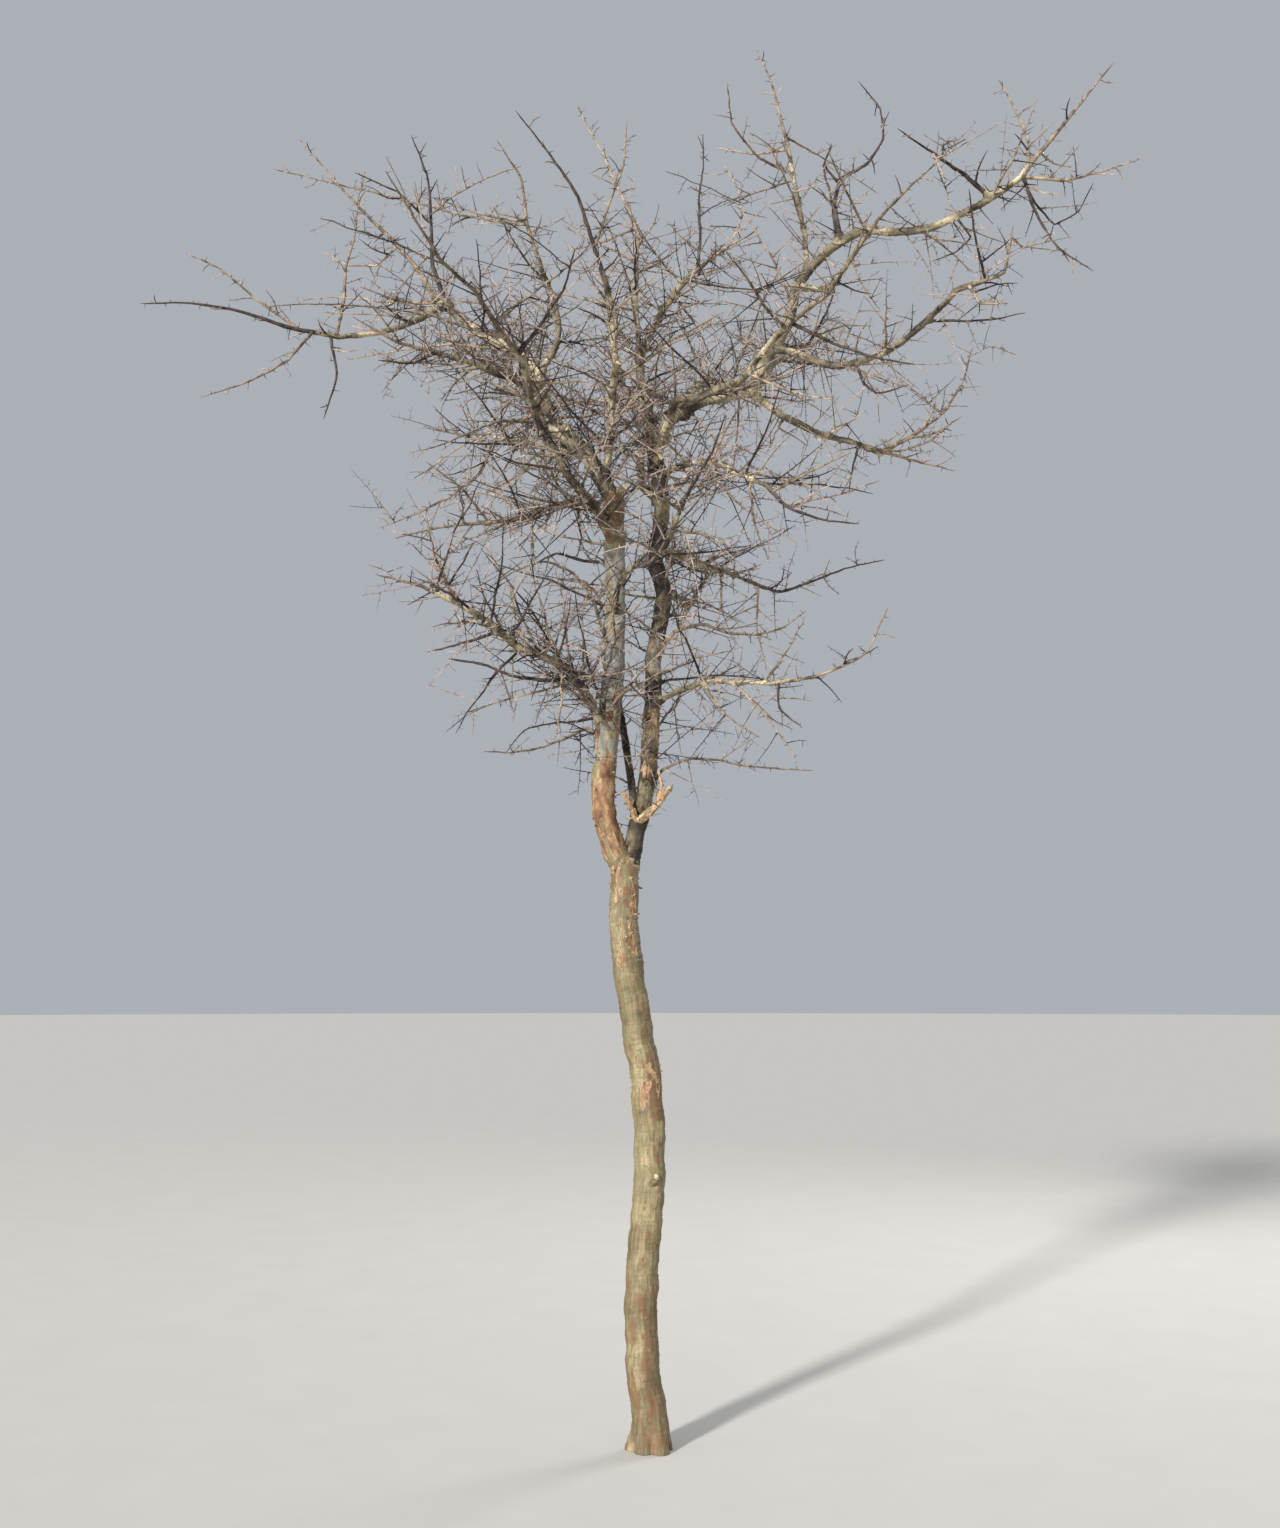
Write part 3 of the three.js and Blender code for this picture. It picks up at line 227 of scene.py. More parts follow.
# Long twigs that leave a limb or a mass's first leading twig, each with its own route;
# fine is how thickly it is set with fine twigs, where that isn't 1
longTwigs = {
    "low_level": {"from": "stem_right", "at": 0.12, "girth": (0.013, 0.005), "seed": 51,
        "route": [(0.06, 0.06, 2.33), (0.19, 0.1, 2.36), (0.35, 0.17, 2.34), (0.6, 0.22, 2.33)]},
    "low_drooping": {"from": "stem_left", "at": 0.32, "girth": (0.014, 0.004), "seed": 52,
        "route": [(-0.21, -0.04, 2.45), (-0.28, -0.08, 2.41), (-0.44, -0.2, 2.34), (-0.56, -0.3, 2.33)]},
    "low_hooked": {"from": "bough_right_lowest", "at": 0.45, "girth": (0.009, 0.004), "seed": 53,
        "route": [(0.25, -0.1, 2.5), (0.33, -0.2, 2.42), (0.37, -0.28, 2.38)]},
    "mid_arching": {"from": "stem_right", "at": 0.52, "girth": (0.016, 0.004), "seed": 54,
        "route": [(0.14, 0, 2.84), (0.25, -0.06, 2.79), (0.42, -0.18, 2.76), (0.53, -0.3, 2.81)]},
    "under_upper_mid": {"from": "bough_right_upper_mid", "at": 0.45, "girth": (0.012, 0.004), "seed": 55,
        "route": [(0.74, -0.37, 3.57), (0.77, -0.43, 3.53), (0.86, -0.52, 3.53)]},
    "over_lower_mid": {"from": "bough_right_lower_mid", "at": 0.9, "girth": (0.012, 0.004), "seed": 56,
        "route": [(1.01, 0.33, 3.58), (1.1, 0.32, 3.63), (1.17, 0.3, 3.69)]},
    "hooked_inner": {"from": "bough_right_rise", "at": 0.45, "girth": (0.016, 0.006), "seed": 57,
        "route": [(0.55, 0, 3.85), (0.62, 0.07, 3.95), (0.67, 0.13, 4.06), (0.71, 0.22, 4.18)]},
    "crest_upright": {"from": "bough_right_crest", "at": 0.6, "girth": (0.013, 0.004), "seed": 58,
        "route": [(0.67, -0.1, 4.32), (0.66, -0.06, 4.44), (0.64, -0.03, 4.57), (0.68, 0, 4.64)]},
    "left_tangle": {"from": "stem_left", "at": 0.55, "girth": (0.014, 0.004), "seed": 59,
        "route": [(-0.22, -0.1, 2.93), (-0.33, -0.16, 3.02), (-0.46, -0.2, 2.98), (-0.55, -0.26, 2.9)]},
    "left_tangle_back": {"from": "stem_left", "at": 0.62, "girth": (0.014, 0.004), "seed": 60,
        "route": [(-0.2, 0.12, 2.98), (-0.3, 0.24, 3.06), (-0.44, 0.33, 3.03)]},
    "knee_level": {"from": "bough_left_mid", "at": 0.34, "girth": (0.015, 0.006), "seed": 61,
        "route": [(-0.36, -0.22, 2.585), (-0.49, -0.25, 2.6), (-0.56, -0.28, 2.63),
                  (-0.68, -0.33, 2.64)]},
    "knee_brush_left": {"from": "bough_left_mid", "at": 0.4, "girth": (0.011, 0.003), "seed": 62,
        "route": [(-0.355, -0.24, 2.76), (-0.375, -0.23, 2.86), (-0.42, -0.22, 2.99),
                  (-0.4, -0.22, 3.08)]},
    "knee_brush_mid": {"from": "bough_left_mid", "at": 0.33, "girth": (0.01, 0.003), "seed": 63,
        "route": [(-0.29, -0.2, 2.74), (-0.3, -0.2, 2.87), (-0.33, -0.21, 2.99)]},
    "knee_brush_right": {"from": "bough_left_mid", "at": 0.26, "girth": (0.009, 0.003), "seed": 64,
        "route": [(-0.23, -0.17, 2.72), (-0.235, -0.18, 2.84), (-0.21, -0.18, 2.93)]},
    "knee_brush_out": {"from": "bough_left_mid", "at": 0.55, "girth": (0.01, 0.003), "seed": 65,
        "route": [(-0.45, -0.3, 2.82), (-0.49, -0.3, 2.93), (-0.56, -0.31, 3.03)]},
    "knee_second": {"from": "bough_left_mid", "at": 0.78, "girth": (0.013, 0.004), "seed": 83,
        "fine": 0.6, "route": [(-0.63, -0.26, 2.71), (-0.77, -0.19, 2.69)]},
    "low_thin": {"from": "stem_left", "at": 0.42, "girth": (0.011, 0.003), "seed": 84, "fine": 0.7,
        "route": [(-0.24, 0, 2.48), (-0.37, 0.1, 2.485), (-0.445, 0.15, 2.475), (-0.53, 0.2, 2.39)]},
    "low_hook": {"from": "stem_left", "at": 0.82, "girth": (0.013, 0.004), "seed": 85, "fine": 0.6,
        "route": [(-0.195, -0.05, 3.04), (-0.285, -0.02, 3.07), (-0.37, 0.02, 3.095),
                  (-0.43, 0.06, 3.045), (-0.41, 0.06, 2.95)]},
    "level_upper": {"from": "twigs_crown_far_left", "at": 0.37, "girth": (0.009, 0.003), "seed": 66,
        "fine": 0.3, "route": [(-0.61, -0.12, 4.315), (-0.77, -0.02, 4.42), (-0.88, 0.05, 4.485)]},
    "level_first": {"from": "bough_left_outer", "at": 0.915, "girth": (0.01, 0.003), "seed": 67,
        "fine": 0.3, "route": [(-1, 0.12, 4.085), (-1.19, 0.17, 4.125), (-1.34, 0.2, 4.12)]},
    "level_second": {"from": "bough_left_long", "at": 0.2, "girth": (0.009, 0.003), "seed": 68,
        "fine": 0.3, "route": [(-1.02, -0.04, 4), (-1.21, -0.1, 3.985), (-1.385, -0.16, 3.95)]},
    "level_third": {"from": "bough_left_long", "at": 0.35, "girth": (0.008, 0.003), "seed": 69,
        "fine": 0.3, "route": [(-0.97, -0.06, 3.96), (-1.09, -0.1, 3.95), (-1.17, -0.12, 3.945)]},
    "level_under": {"from": "bough_left_outer", "at": 0.2, "girth": (0.011, 0.003), "seed": 70,
        "fine": 0.4, "route": [(-0.74, 0.02, 3.88), (-0.9, 0.1, 3.89), (-1.14, 0.15, 3.87)]},
    "rising_left": {"from": "bough_left_outer", "at": 0.935, "girth": (0.008, 0.003), "seed": 71,
        "fine": 0.4, "route": [(-0.855, 0.03, 4.035), (-0.94, -0.02, 4.05), (-1.03, -0.06, 4.1)]},
    "low_sweep": {"from": "bough_left_inner", "at": 0.595, "girth": (0.013, 0.003), "seed": 72,
        "fine": 0.6, "route": [(-0.53, -0.2, 3.515), (-0.7, -0.3, 3.4), (-0.82, -0.35, 3.35)]},
    "low_sweep_back": {"from": "bough_left_inner", "at": 0.69, "girth": (0.013, 0.003), "seed": 73,
        "fine": 0.6, "route": [(-0.63, 0.2, 3.59), (-0.79, 0.3, 3.535), (-0.89, 0.35, 3.45)]},
    "upright_left": {"from": "twigs_crown_right", "at": 0.02, "girth": (0.008, 0.003), "seed": 74,
        "fine": 0.3, "route": [(0.365, -0.1, 4.4), (0.245, -0.16, 4.34)]},
    "upright_right": {"from": "twigs_crown_right", "at": 0.335, "girth": (0.008, 0.003), "seed": 75,
        "fine": 0.3,
        "route": [(0.545, 0, 4.65), (0.65, 0.05, 4.62), (0.765, 0.1, 4.57), (0.87, 0.14, 4.52)]},
    "centre_level": {"from": "bough_centre", "at": 0.96, "girth": (0.01, 0.003), "seed": 76, "fine": 0.4,
        "route": [(0.27, 0.22, 4.185), (0.38, 0.15, 4.15), (0.52, 0.1, 4.1)]},
    "far_under": {"from": "twigs_right_far", "at": 0.025, "girth": (0.01, 0.003), "seed": 77,
        "fine": 0.4,
        "route": [(1.405, -0.15, 4.32), (1.49, -0.1, 4.28), (1.57, -0.1, 4.35), (1.61, -0.12, 4.435)]},
    "hanging_mid": {"from": "bough_right_outer", "at": 0.54, "girth": (0.009, 0.003), "seed": 78,
        "fine": 0.3, "route": [(1.135, -0.26, 4.145), (1.045, -0.3, 4.08), (0.98, -0.34, 4.04)]},
    "fork_drop": {"from": "bough_right_fork", "at": 0.98, "girth": (0.008, 0.003), "seed": 79,
        "fine": 0.3, "route": [(0.74, -0.28, 3.985), (0.8, -0.3, 3.88)]},
    "far_out": {"from": "twigs_right_far", "at": 0.215, "girth": (0.008, 0.003), "seed": 80, "fine": 0.3,
        "route": [(1.445, -0.2, 4.47), (1.525, -0.15, 4.48)]},
    "over_drop": {"from": "twigs_right_over", "at": 0.645, "girth": (0.007, 0.003), "seed": 81,
        "fine": 0.3, "route": [(1.005, -0.42, 4.33), (1.02, -0.44, 4.23), (1.045, -0.46, 4.14)]},
    "upper_mid_level": {"from": "twigs_right_upper_mid", "at": 0.875, "girth": (0.008, 0.003),
        "seed": 82, "fine": 0.3,
        "route": [(1.26, -0.5, 4.02), (1.345, -0.42, 4.05), (1.445, -0.35, 4.07)]},
}

# How limbs run, as in the solids
stride = {"trunk": 0.12, "stem": 0.07, "bough": 0.13, "leader": 0.165, "long": 0.12}  # from bend to bend
crook = {"share": 0.012,  # how far a bough wanders, as a share of its length
         "swings": (2.3, 3, 3.9)}  # how often it swings to the right, away and up
seatDepth = 0.6  # how far a limb starts inside its carrier's tip, in tip radii

# Leading twigs and side twigs, as in the solids
leaderPlan = {"girthMost": 0.018, "stemShare": 0.9, "armShare": 0.75, "tipGirth": 0.004, "zigzag": 0.007}
budPlan = {"turn": 137.5,  # degrees round the carrier from one bud to the next
           "stray": 50, "slotShare": (0.25, 0.75)}
clearance = {"spread": 0.33,  # how far a twig may lie from its mass's own leading twigs
             "mass": 0.016,  # how much nearer to them it lies than to another mass's
             "twig": 0.014,  # from limbs, as these: fine twigs on a mass or a whip, on a limb, and whips
             "massFine": 0.004, "fine": 0.006, "limbWhip": 0.008}

# What grows from a bud. The first rule is the solids' own, and the others carry it on to finer wood.
# spacing is from bud to bud; lean and kink are degrees; the two lengths are near foot and tip.
twigRules = {
    "side": {"spacing": 0.165, "lengths": (0.25, 0.08), "lengthShare": (0.65, 1.15),
             "girth": (0.009, 0.0034), "girthShare": 0.75, "lean": (48, 78), "kink": 26},
    "whip": {"spacing": 0.066, "lengths": (0.6, 0.34), "lengthShare": (0.35, 1.1),
             "girth": (0.0105, 0.0034), "girthShare": 0.6, "lean": (40, 84), "kink": 13},
    "fine": {"spacing": 0.034, "lengths": (0.29, 0.07), "lengthShare": (0.14, 1.25),
             "girth": (0.0055, 0.0022), "girthShare": 0.75, "lean": (46, 90), "kink": 7},
    "twiglet": {"spacing": 0.05, "lengths": (0.08, 0.05), "lengthShare": (0.3, 1.2),
                "girth": (0.004, 0.002), "girthShare": 0.8, "lean": (60, 94), "kink": 4},
    "spine": {"spacing": 0.024, "lengths": (0.021, 0.016), "lengthShare": (0.4, 1.8),
              "girth": (0.0044, 0.0006), "girthShare": 0.9, "lean": (70, 98), "kink": 0},
}
leaderWhips = 0.25  # a whip for so many metres of leading twig, where the thickness is 1

# How thickly a limb or mass is set with whips and with fine twigs, where that isn't 1
thickness = {
    "stem_left": (0.8, 0.6), "stem_right": (0.7, 0.6), "bough_left_inner": (1.1, 1.2),
    "bough_crown_left": (1.6, 1.8), "bough_centre": (1.3, 1.4), "bough_crown_mid": (0.9, 1),
    "bough_right_inner": (0.9, 1), "bough_left_level": (1.5, 1.4), "bough_left_outer": (0.35, 0.6),
    "bough_left_long": (0.1, 0.2), "bough_right_rise": (0.35, 0.8), "bough_right_crest": (0.3, 1),
    "bough_right_outer": (0.2, 1), "bough_left_mid": (1.8, 1.8), "bough_right_lower": (0.7, 0.9),
    "bough_right_lowest": (0.6, 0.7), "bough_right_upper_mid": (0.25, 0.9),
    "bough_right_lower_mid": (0.35, 0.9), "bough_right_fork": (0.1, 0.5),
    "bough_crown_right": (0.2, 0.6), "bough_crown_far_left": (0.6, 0.9), "bough_left_second": (0.8, 1),
    "bough_left_low": (1.7, 1.6), "bough_right_low": (1.2, 1.3), "bough_front_right": (0.4, 0.8),
    "bough_front_left": (1, 1.1), "bough_front_low": (0.35, 0.6), "bough_back_low": (0.4, 0.8),
    "twigs_left_far": (0, 0.45), "twigs_left_top": (0.05, 0.7), "twigs_left_upright": (0.3, 0.8),
    "twigs_crown_far_left": (0.25, 0.8), "twigs_crown_left": (0.1, 0.7), "twigs_crown_mid": (0.1, 0.7),
    "twigs_crown_right": (0.05, 0.55), "twigs_crest": (0.1, 0.55), "twigs_right_far": (0.05, 0.5),
    "twigs_right_over": (0.05, 0.45), "twigs_right_fork": (0.05, 0.45),
    "twigs_right_upper_mid": (0.1, 0.6), "twigs_right_lower_mid": (0.2, 0.7),
    "twigs_right_low": (0.3, 0.7), "twigs_right_lower": (0.3, 0.6), "twigs_right_lowest": (0.15, 0.5),
    "twigs_left_second": (0.8, 1), "twigs_front_right": (0.3, 0.65), "twigs_front_low": (0.6, 0.8),
    "twigs_left_low": (1.7, 1.6), "twigs_left_mid": (1.7, 1.6), "twigs_left_level": (1.7, 1.5),
    "twigs_centre": (0.4, 0.8),
}

# How long the side and fine twigs of the outermost masses are, where that isn't 1
twigReach = {
    "twigs_left_far": 0.4, "twigs_left_top": 0.5, "twigs_left_upright": 0.65, "twigs_crown_far_left": 0.6,
    "twigs_crown_left": 0.6, "twigs_crown_mid": 0.5, "twigs_crown_right": 0.5, "twigs_crest": 0.55,
    "twigs_right_far": 0.5, "twigs_right_over": 0.5, "twigs_right_fork": 0.6, "twigs_centre": 0.7,
    "twigs_right_upper_mid": 0.7, "twigs_right_lower_mid": 0.7, "twigs_right_lowest": 0.7,
}


# Routes

curveChecks = 200  # places along a curve where its length is added up


def between(pair, share):
    return pair[0] + (pair[1] - pair[0]) * share


def seededDraw(seed):
    # numbers between 0 and 1 that come out the same each time for one seed, and the same as in the solids
    wide = 0xFFFFFFFF
    state = seed & wide

    def draw():
        nonlocal state
        state = (state + 0x6D2B79F5) & wide
        mixed = ((state ^ state >> 15) * (1 | state)) & wide
        mixed = (mixed + ((mixed ^ mixed >> 7) * (61 | mixed) & wide) & wide) ^ mixed
        return (mixed ^ mixed >> 14) / (wide + 1)

    return draw


def curveThrough(route, step):
    # points about one step apart on a smooth curve through the route's places, and the curve's length
    places = [Vector(place) for place in route]
    ends = [2 * places[0] - places[1], *places, 2 * places[-1] - places[-2]]
    spans = len(places) - 1

    def spot(share):
        k = min(int(share * spans), spans - 1)
        t = share * spans - k
        a, b, c, d = ends[k:k + 4]
        gapA, gapB, gapC = (math.sqrt((q - p).length) for p, q in ((a, b), (b, c), (c, d)))
        leave = gapB * ((b - a) / gapA - (c - a) / (gapA + gapB) + (c - b) / gapB)
        arrive = gapB * ((c - b) / gapB - (d - b) / (gapB + gapC) + (d - c) / gapC)
        square = 3 * (c - b) - 2 * leave - arrive
        cube = 2 * (b - c) + leave + arrive
        return b + t * (leave + t * (square + t * cube))

    checks = [spot(i / curveChecks) for i in range(curveChecks + 1)]
    runs = np.cumsum([0] + [(q - p).length for p, q in zip(checks, checks[1:])])
    steps = max(2, round(runs[-1] / step))
    shares = np.interp(np.linspace(0, runs[-1], steps + 1), runs, np.linspace(0, 1, curveChecks + 1))
    return [spot(float(share)) for share in shares], float(runs[-1])


def crooked(points, length, seed):
    last = len(points) - 1
    bent = []
    for k, point in enumerate(points):
        fade = crook["share"] * length * math.sin(math.pi * k / last)
        swing = [fade * math.sin(2 * math.pi * swings * k / last + seed) for swings in crook["swings"]]
        bent.append(point + Vector(swing))
    return bent


def tapered(points, girth):
    last = len(points) - 1
    return {"points": points, "radii": [between(girth, k / last) / 2 for k in range(last + 1)]}


def placeOn(line, share):
    # a place on a line, how thick the line is there, and which way it runs
    points, radii = line["points"], line["radii"]
    last = len(points) - 1
    k = min(int(share * last), last - 1)
    rest = share * last - k
    ahead = (points[k + 1] - points[k]).normalized()
    return points[k].lerp(points[k + 1], rest), between(radii[k:k + 2], rest), ahead


def footOn(carrier, share):
    point, radius, ahead = placeOn(carrier, share)
    return (point - ahead * seatDepth * radius if share == 1 else point), radius


def smoothed(line, step):
    # the same line with more points, on a smooth curve through the old ones
    points, _ = curveThrough(line["points"], step)
    return tapered(points, (2 * line["radii"][0], 2 * line["radii"][-1]))


def lineLength(points):
    return sum((q - p).length for p, q in zip(points, points[1:]))


routes = {"trunk": tapered(curveThrough(trunk["route"], stride["trunk"])[0], trunk["girth"])}
limbOf = {limb["name"]: limb for limb in limbs}
for index, (name, limb) in enumerate(limbOf.items()):
    foot, _ = footOn(routes[limb["from"]], limb["at"])
    kind = name.split("_")[0]
    points, length = curveThrough([foot, *limb["route"]], stride[kind])
    routes[name] = tapered(points if kind == "stem" else crooked(points, length, index), limb["girth"])


def zigzagged(foot, route, girthShare, radius, girthMost=math.inf):
    # a leading twig: straight stretches that swing from side to side, thinning to its tip
    points, _ = curveThrough([foot, *route], stride["leader"])
    side = Vector((0, 0, 1)).cross(points[-1] - points[0]).normalized() * leaderPlan["zigzag"]
    inner = [point + (side if k % 2 == 1 else -side) for k, point in enumerate(points[1:-1])]
    girth = (min(2 * girthShare * radius, girthMost), leaderPlan["tipGirth"])
    return tapered([points[0], *inner, points[-1]], girth)


def leadersOf(mass):
    foot, radius = footOn(routes[mass["from"]], mass["at"])
    stem = zigzagged(foot, mass["stem"], leaderPlan["stemShare"], radius, leaderPlan["girthMost"])
    lines = [stem]
    for at, route in mass["arms"]:
        foot, radius, _ = placeOn(stem, at)
        lines.append(zigzagged(foot, route, leaderPlan["armShare"], radius))
    return lines


leaders = {mass["name"]: leadersOf(mass) for mass in masses}
print("routes drawn:", len(routes), "limbs and", sum(map(len, leaders.values())), "leading twigs")


# Twigs: tubes and spines as arrays of points and faces

twigLook = {
    "sides": {"leader": 7, "whip": 6, "side": 5, "fine": 4, "twiglet": 3},
    "stations": {  # places of the rings along a twig
        "whip": (0, 0.05, 0.15, 0.27, 0.4, 0.52, 0.65, 0.78, 0.9, 1), "side": (0, 0.1, 0.3, 0.52, 0.76, 1),
        "fine": (0, 0.12, 0.45, 0.75, 1), "twiglet": (0, 0.5, 1),
    },
    "tipRadius": 0.0009,
    "footFlare": 1.5,  # how much a twig widens where it leaves its carrier
    "stray": 0.02,  # how far a ring strays, as a share of the twig's length
    "leaderStep": 0.028,  # from bud to bud along a leading twig
    "leaderStray": 0.0016,
    "leaderKink": 0.75,  # 1 keeps the solids' straight stretches, 0 rounds them off
    "budSwell": 0.22,  # how much a leading twig swells at each second bud
    "twigletChance": 0.5,
    "twigletLeast": 0.11,  # shorter twigs bear no twiglets
    "spineChance": 0.85, "leaderSpineChance": 0.7,
    "spineTwigletLeast": 0.03,  # shorter twiglets bear no spines
    "limbStep": 0.03,  # from place to place along a limb that bears twigs
    "bareFeet": {"stem_left": 0.42, "stem_right": 0.3, "bough_front_right": 0.28, "bough_front_low": 0.2,
                 "bough_front_left": 0.12},  # metres of limb with no twigs, from its foot
    "bareFoot": 0.05,
    "tipBareness": 1.2,  # how few fine twigs there are towards a leading twig's tip
}
tints = {"grey": 0.36, "tan": 0.26, "dark": 0.2, "olive": 0.18}  # shares of the sprays
leaderTints = {"leaders": 0.42, "leaders_dark": 0.32, "leaders_tan": 0.26}  # and of the leading twigs
# Steps between the seeds of masses, their arms and limbs; mass and arm are the solids' own
seeds = {"leader": 7919, "leaderTint": 782, "mass": 1000, "arm": 100, "limb": 90001, "nextLimb": 97}


def newHeap():
    return {"points": [], "faces": []}


heaps = {name: newHeap() for name in
         [*leaderTints, *(f"twigs_{tint}" for tint in tints), "spines_dark", "spines_pale"]}
twigFeet = {name: [] for name in routes}  # where twigs leave each limb
circles = {sides: [(math.cos(2 * math.pi * i / sides), math.sin(2 * math.pi * i / sides))
                   for i in range(sides)] for sides in range(3, 9)}


def headingsAlong(points):
    # which way a line runs at each of its points, and one direction square to it, carried without twist
    last = len(points) - 1
    across = (points[1] - points[0]).orthogonal().normalized()
    for k in range(last + 1):
        ahead = (points[min(k + 1, last)] - points[max(k - 1, 0)]).normalized()
        across = (across - ahead * across.dot(ahead)).normalized()
        yield ahead, across


def addTube(heap, line, sides):
    rings = []
    for point, radius, (ahead, across) in zip(line["points"], line["radii"], headingsAlong(line["points"])):
        square = ahead.cross(across)
        rings.append([point + radius * (c * across + s * square) for c, s in circles[sides]])
    addShell(heap, rings)


def addShell(heap, rings):
    # rings of points one after another, closed at both ends
    start, last, sides = len(heap["points"]), len(rings) - 1, len(rings[0])
    heap["points"] += [point for ring in rings for point in ring]
    for k in range(last):
        low, high = start + k * sides, start + (k + 1) * sides
        heap["faces"] += [(low + i, low + (i + 1) % sides, high + (i + 1) % sides, high + i)
                          for i in range(sides)]
    heap["faces"].append(tuple(range(start + sides - 1, start - 1, -1)))
    heap["faces"].append(tuple(range(start + last * sides, start + (last + 1) * sides)))


def addSpine(heap, root, tip, radius):
    ahead = (tip - root).normalized()
    across = ahead.orthogonal().normalized()
    square = ahead.cross(across)
    start = len(heap["points"])
    heap["points"] += [root + radius * (c * across + s * square) for c, s in circles[3]] + [tip]
    heap["faces"] += [(start, start + 1, start + 3), (start + 1, start + 2, start + 3),
                      (start + 2, start, start + 3), (start + 2, start + 1, start)]


def outgrowth(carrier, slot, slots, draw, rule, reach=1):
    # the seeded rule for what one bud grows: where, which way, how long, and its middle kink
    share = (slot + between(budPlan["slotShare"], draw())) / slots
    root, radius, ahead = placeOn(carrier, share)
    turn = math.radians(budPlan["turn"] * slot + budPlan["stray"] * draw())
    lean = math.radians(between(rule["lean"], draw()))
    length = reach * between(rule["lengths"], share) * between(rule["lengthShare"], draw())
    kink = math.radians(-rule["kink"] if draw() < 0.5 else rule["kink"])
    across = Vector((0, 0, 1)).cross(ahead).normalized()
    aside = Quaternion(ahead, turn) @ across
    heading = ahead * math.cos(lean) + aside * math.sin(lean)
    middle = root + heading * length / 2
    end = middle + (Quaternion(across, kink) @ heading) * length / 2
    girth = (min(rule["girth"][0], 2 * rule["girthShare"] * radius), rule["girth"][1])
    return tapered([root, middle, end], girth)


def segmentsOf(lines):
    starts = [tuple(p) for line in lines for p in line["points"][:-1]]
    ends = [tuple(p) for line in lines for p in line["points"][1:]]
    return np.array(starts), np.array(ends)


def nearestOn(segments, spots):
    # how far along each stretch it comes nearest to each spot, and the way from there to the spot
    starts, ends = segments
    run = ends - starts
    reach = spots[:, None] - starts[None]
    share = np.clip((reach * run).sum(2) / (run ** 2).sum(1), 0, 1)
    return share, reach - share[..., None] * run


def gapsTo(spots, segments):
    return np.linalg.norm(nearestOn(segments, spots)[1], axis=2)


limbSegments = segmentsOf(routes.values())
limbNames = np.array([name for name, route in routes.items() for _ in route["points"][1:]])
footRadii = np.array([route["radii"][0] for route in routes.values() for _ in route["points"][1:]])
leaderSegments = {name: segmentsOf(group) for name, group in leaders.items()}
otherSegments = {}
for name in leaders:
    others = [segments for other, segments in leaderSegments.items() if other != name]
    otherSegments[name] = tuple(map(np.concatenate, zip(*others)))


def spotsOf(twig):
    root, middle, end = twig["points"]
    return np.array([tuple(p) for p in (middle, end, middle.lerp(root, 0.5), middle.lerp(end, 0.5))])


def isInReach(twig):
    spots = spotsOf(twig)
    return bool((spots > cadBox[0]).all() and (spots < cadBox[1]).all())


def isClearOfLimbs(twig, clear, besides=""):
    others = limbNames != besides
    return bool((gapsTo(spotsOf(twig), limbSegments) - footRadii - clear)[:, others].min() > 0)


def isKept(twig, mass, clear):
    # a twig is kept where it stays in its mass's own space and clear of every limb
    spots = spotsOf(twig)
    own = gapsTo(spots, leaderSegments[mass]).min(1)
    others = gapsTo(spots, otherSegments[mass]).min(1)
    staysIn = (own < clearance["spread"]).all() and (others > own + clearance["mass"]).all()
    return bool(staysIn and isClearOfLimbs(twig, clear))


def shaken(draw):
    return Vector((draw() - 0.5, draw() - 0.5, draw() - 0.5))


def livened(twig, kind, draw):
    # a twig's three points as a bent line that widens at its foot and thins to a sharp tip
    root, middle, end = twig["points"]
    hump = 2 * middle - (root + end) / 2
    length = (end - root).length
    stiff = draw()
    points, radii = [], []
    for t in twigLook["stations"][kind]:
        arc = root * (1 - t) ** 2 + hump * 2 * t * (1 - t) + end * t * t
        kinked = root.lerp(middle, 2 * t) if t < 0.5 else middle.lerp(end, 2 * t - 1)
        stray = shaken(draw) * twigLook["stray"] * length
        points.append(arc.lerp(kinked, stiff) + (stray if 0 < t < 1 else Vector()))
        radii.append(between((twig["radii"][0], twig["radii"][-1]), t))
    radii[0] *= twigLook["footFlare"]
    radii[-1] = twigLook["tipRadius"]
    return {"points": points, "radii": radii}


def budded(route, draw):
    # a leading twig with a point at each bud, a little stray and swell there, and a sharp tip
    line = smoothed(route, twigLook["leaderStep"])
    points, radii = line["points"], line["radii"]
    last = len(points) - 1
    for k in range(1, last):
        kinked, _, _ = placeOn(route, k / last)
        straightened = points[k].lerp(kinked, twigLook["leaderKink"])
        points[k] = straightened + shaken(draw) * 2 * twigLook["leaderStray"]
        radii[k] *= 1 + (twigLook["budSwell"] if k % 2 else 0) * draw()
    radii[-1] = twigLook["tipRadius"]
    return line


def pickTint(draw, shares=tints):
    chance, total = draw(), 0
    for tint, share in shares.items():
        total += share
        if chance < total:
            break
    return tint


def budsOn(line, rule, density=1):
    return round(lineLength(line["points"]) * density / rule["spacing"])


def growSpines(line, tint, draw, chance=twigLook["spineChance"]):
    rule = twigRules["spine"]
    slots = max(1, budsOn(line, rule))
    heap = heaps["spines_dark" if tint in ("grey", "dark") else "spines_pale"]
    for slot in range(slots):
        if draw() < chance:
            spine = outgrowth(line, slot, slots, draw, rule)
            addSpine(heap, spine["points"][0], spine["points"][2], spine["radii"][0])


def addTwig(twig, kind, heap, draw):
    line = livened(twig, kind, draw)
    addTube(heap, line, twigLook["sides"][kind])
    return line


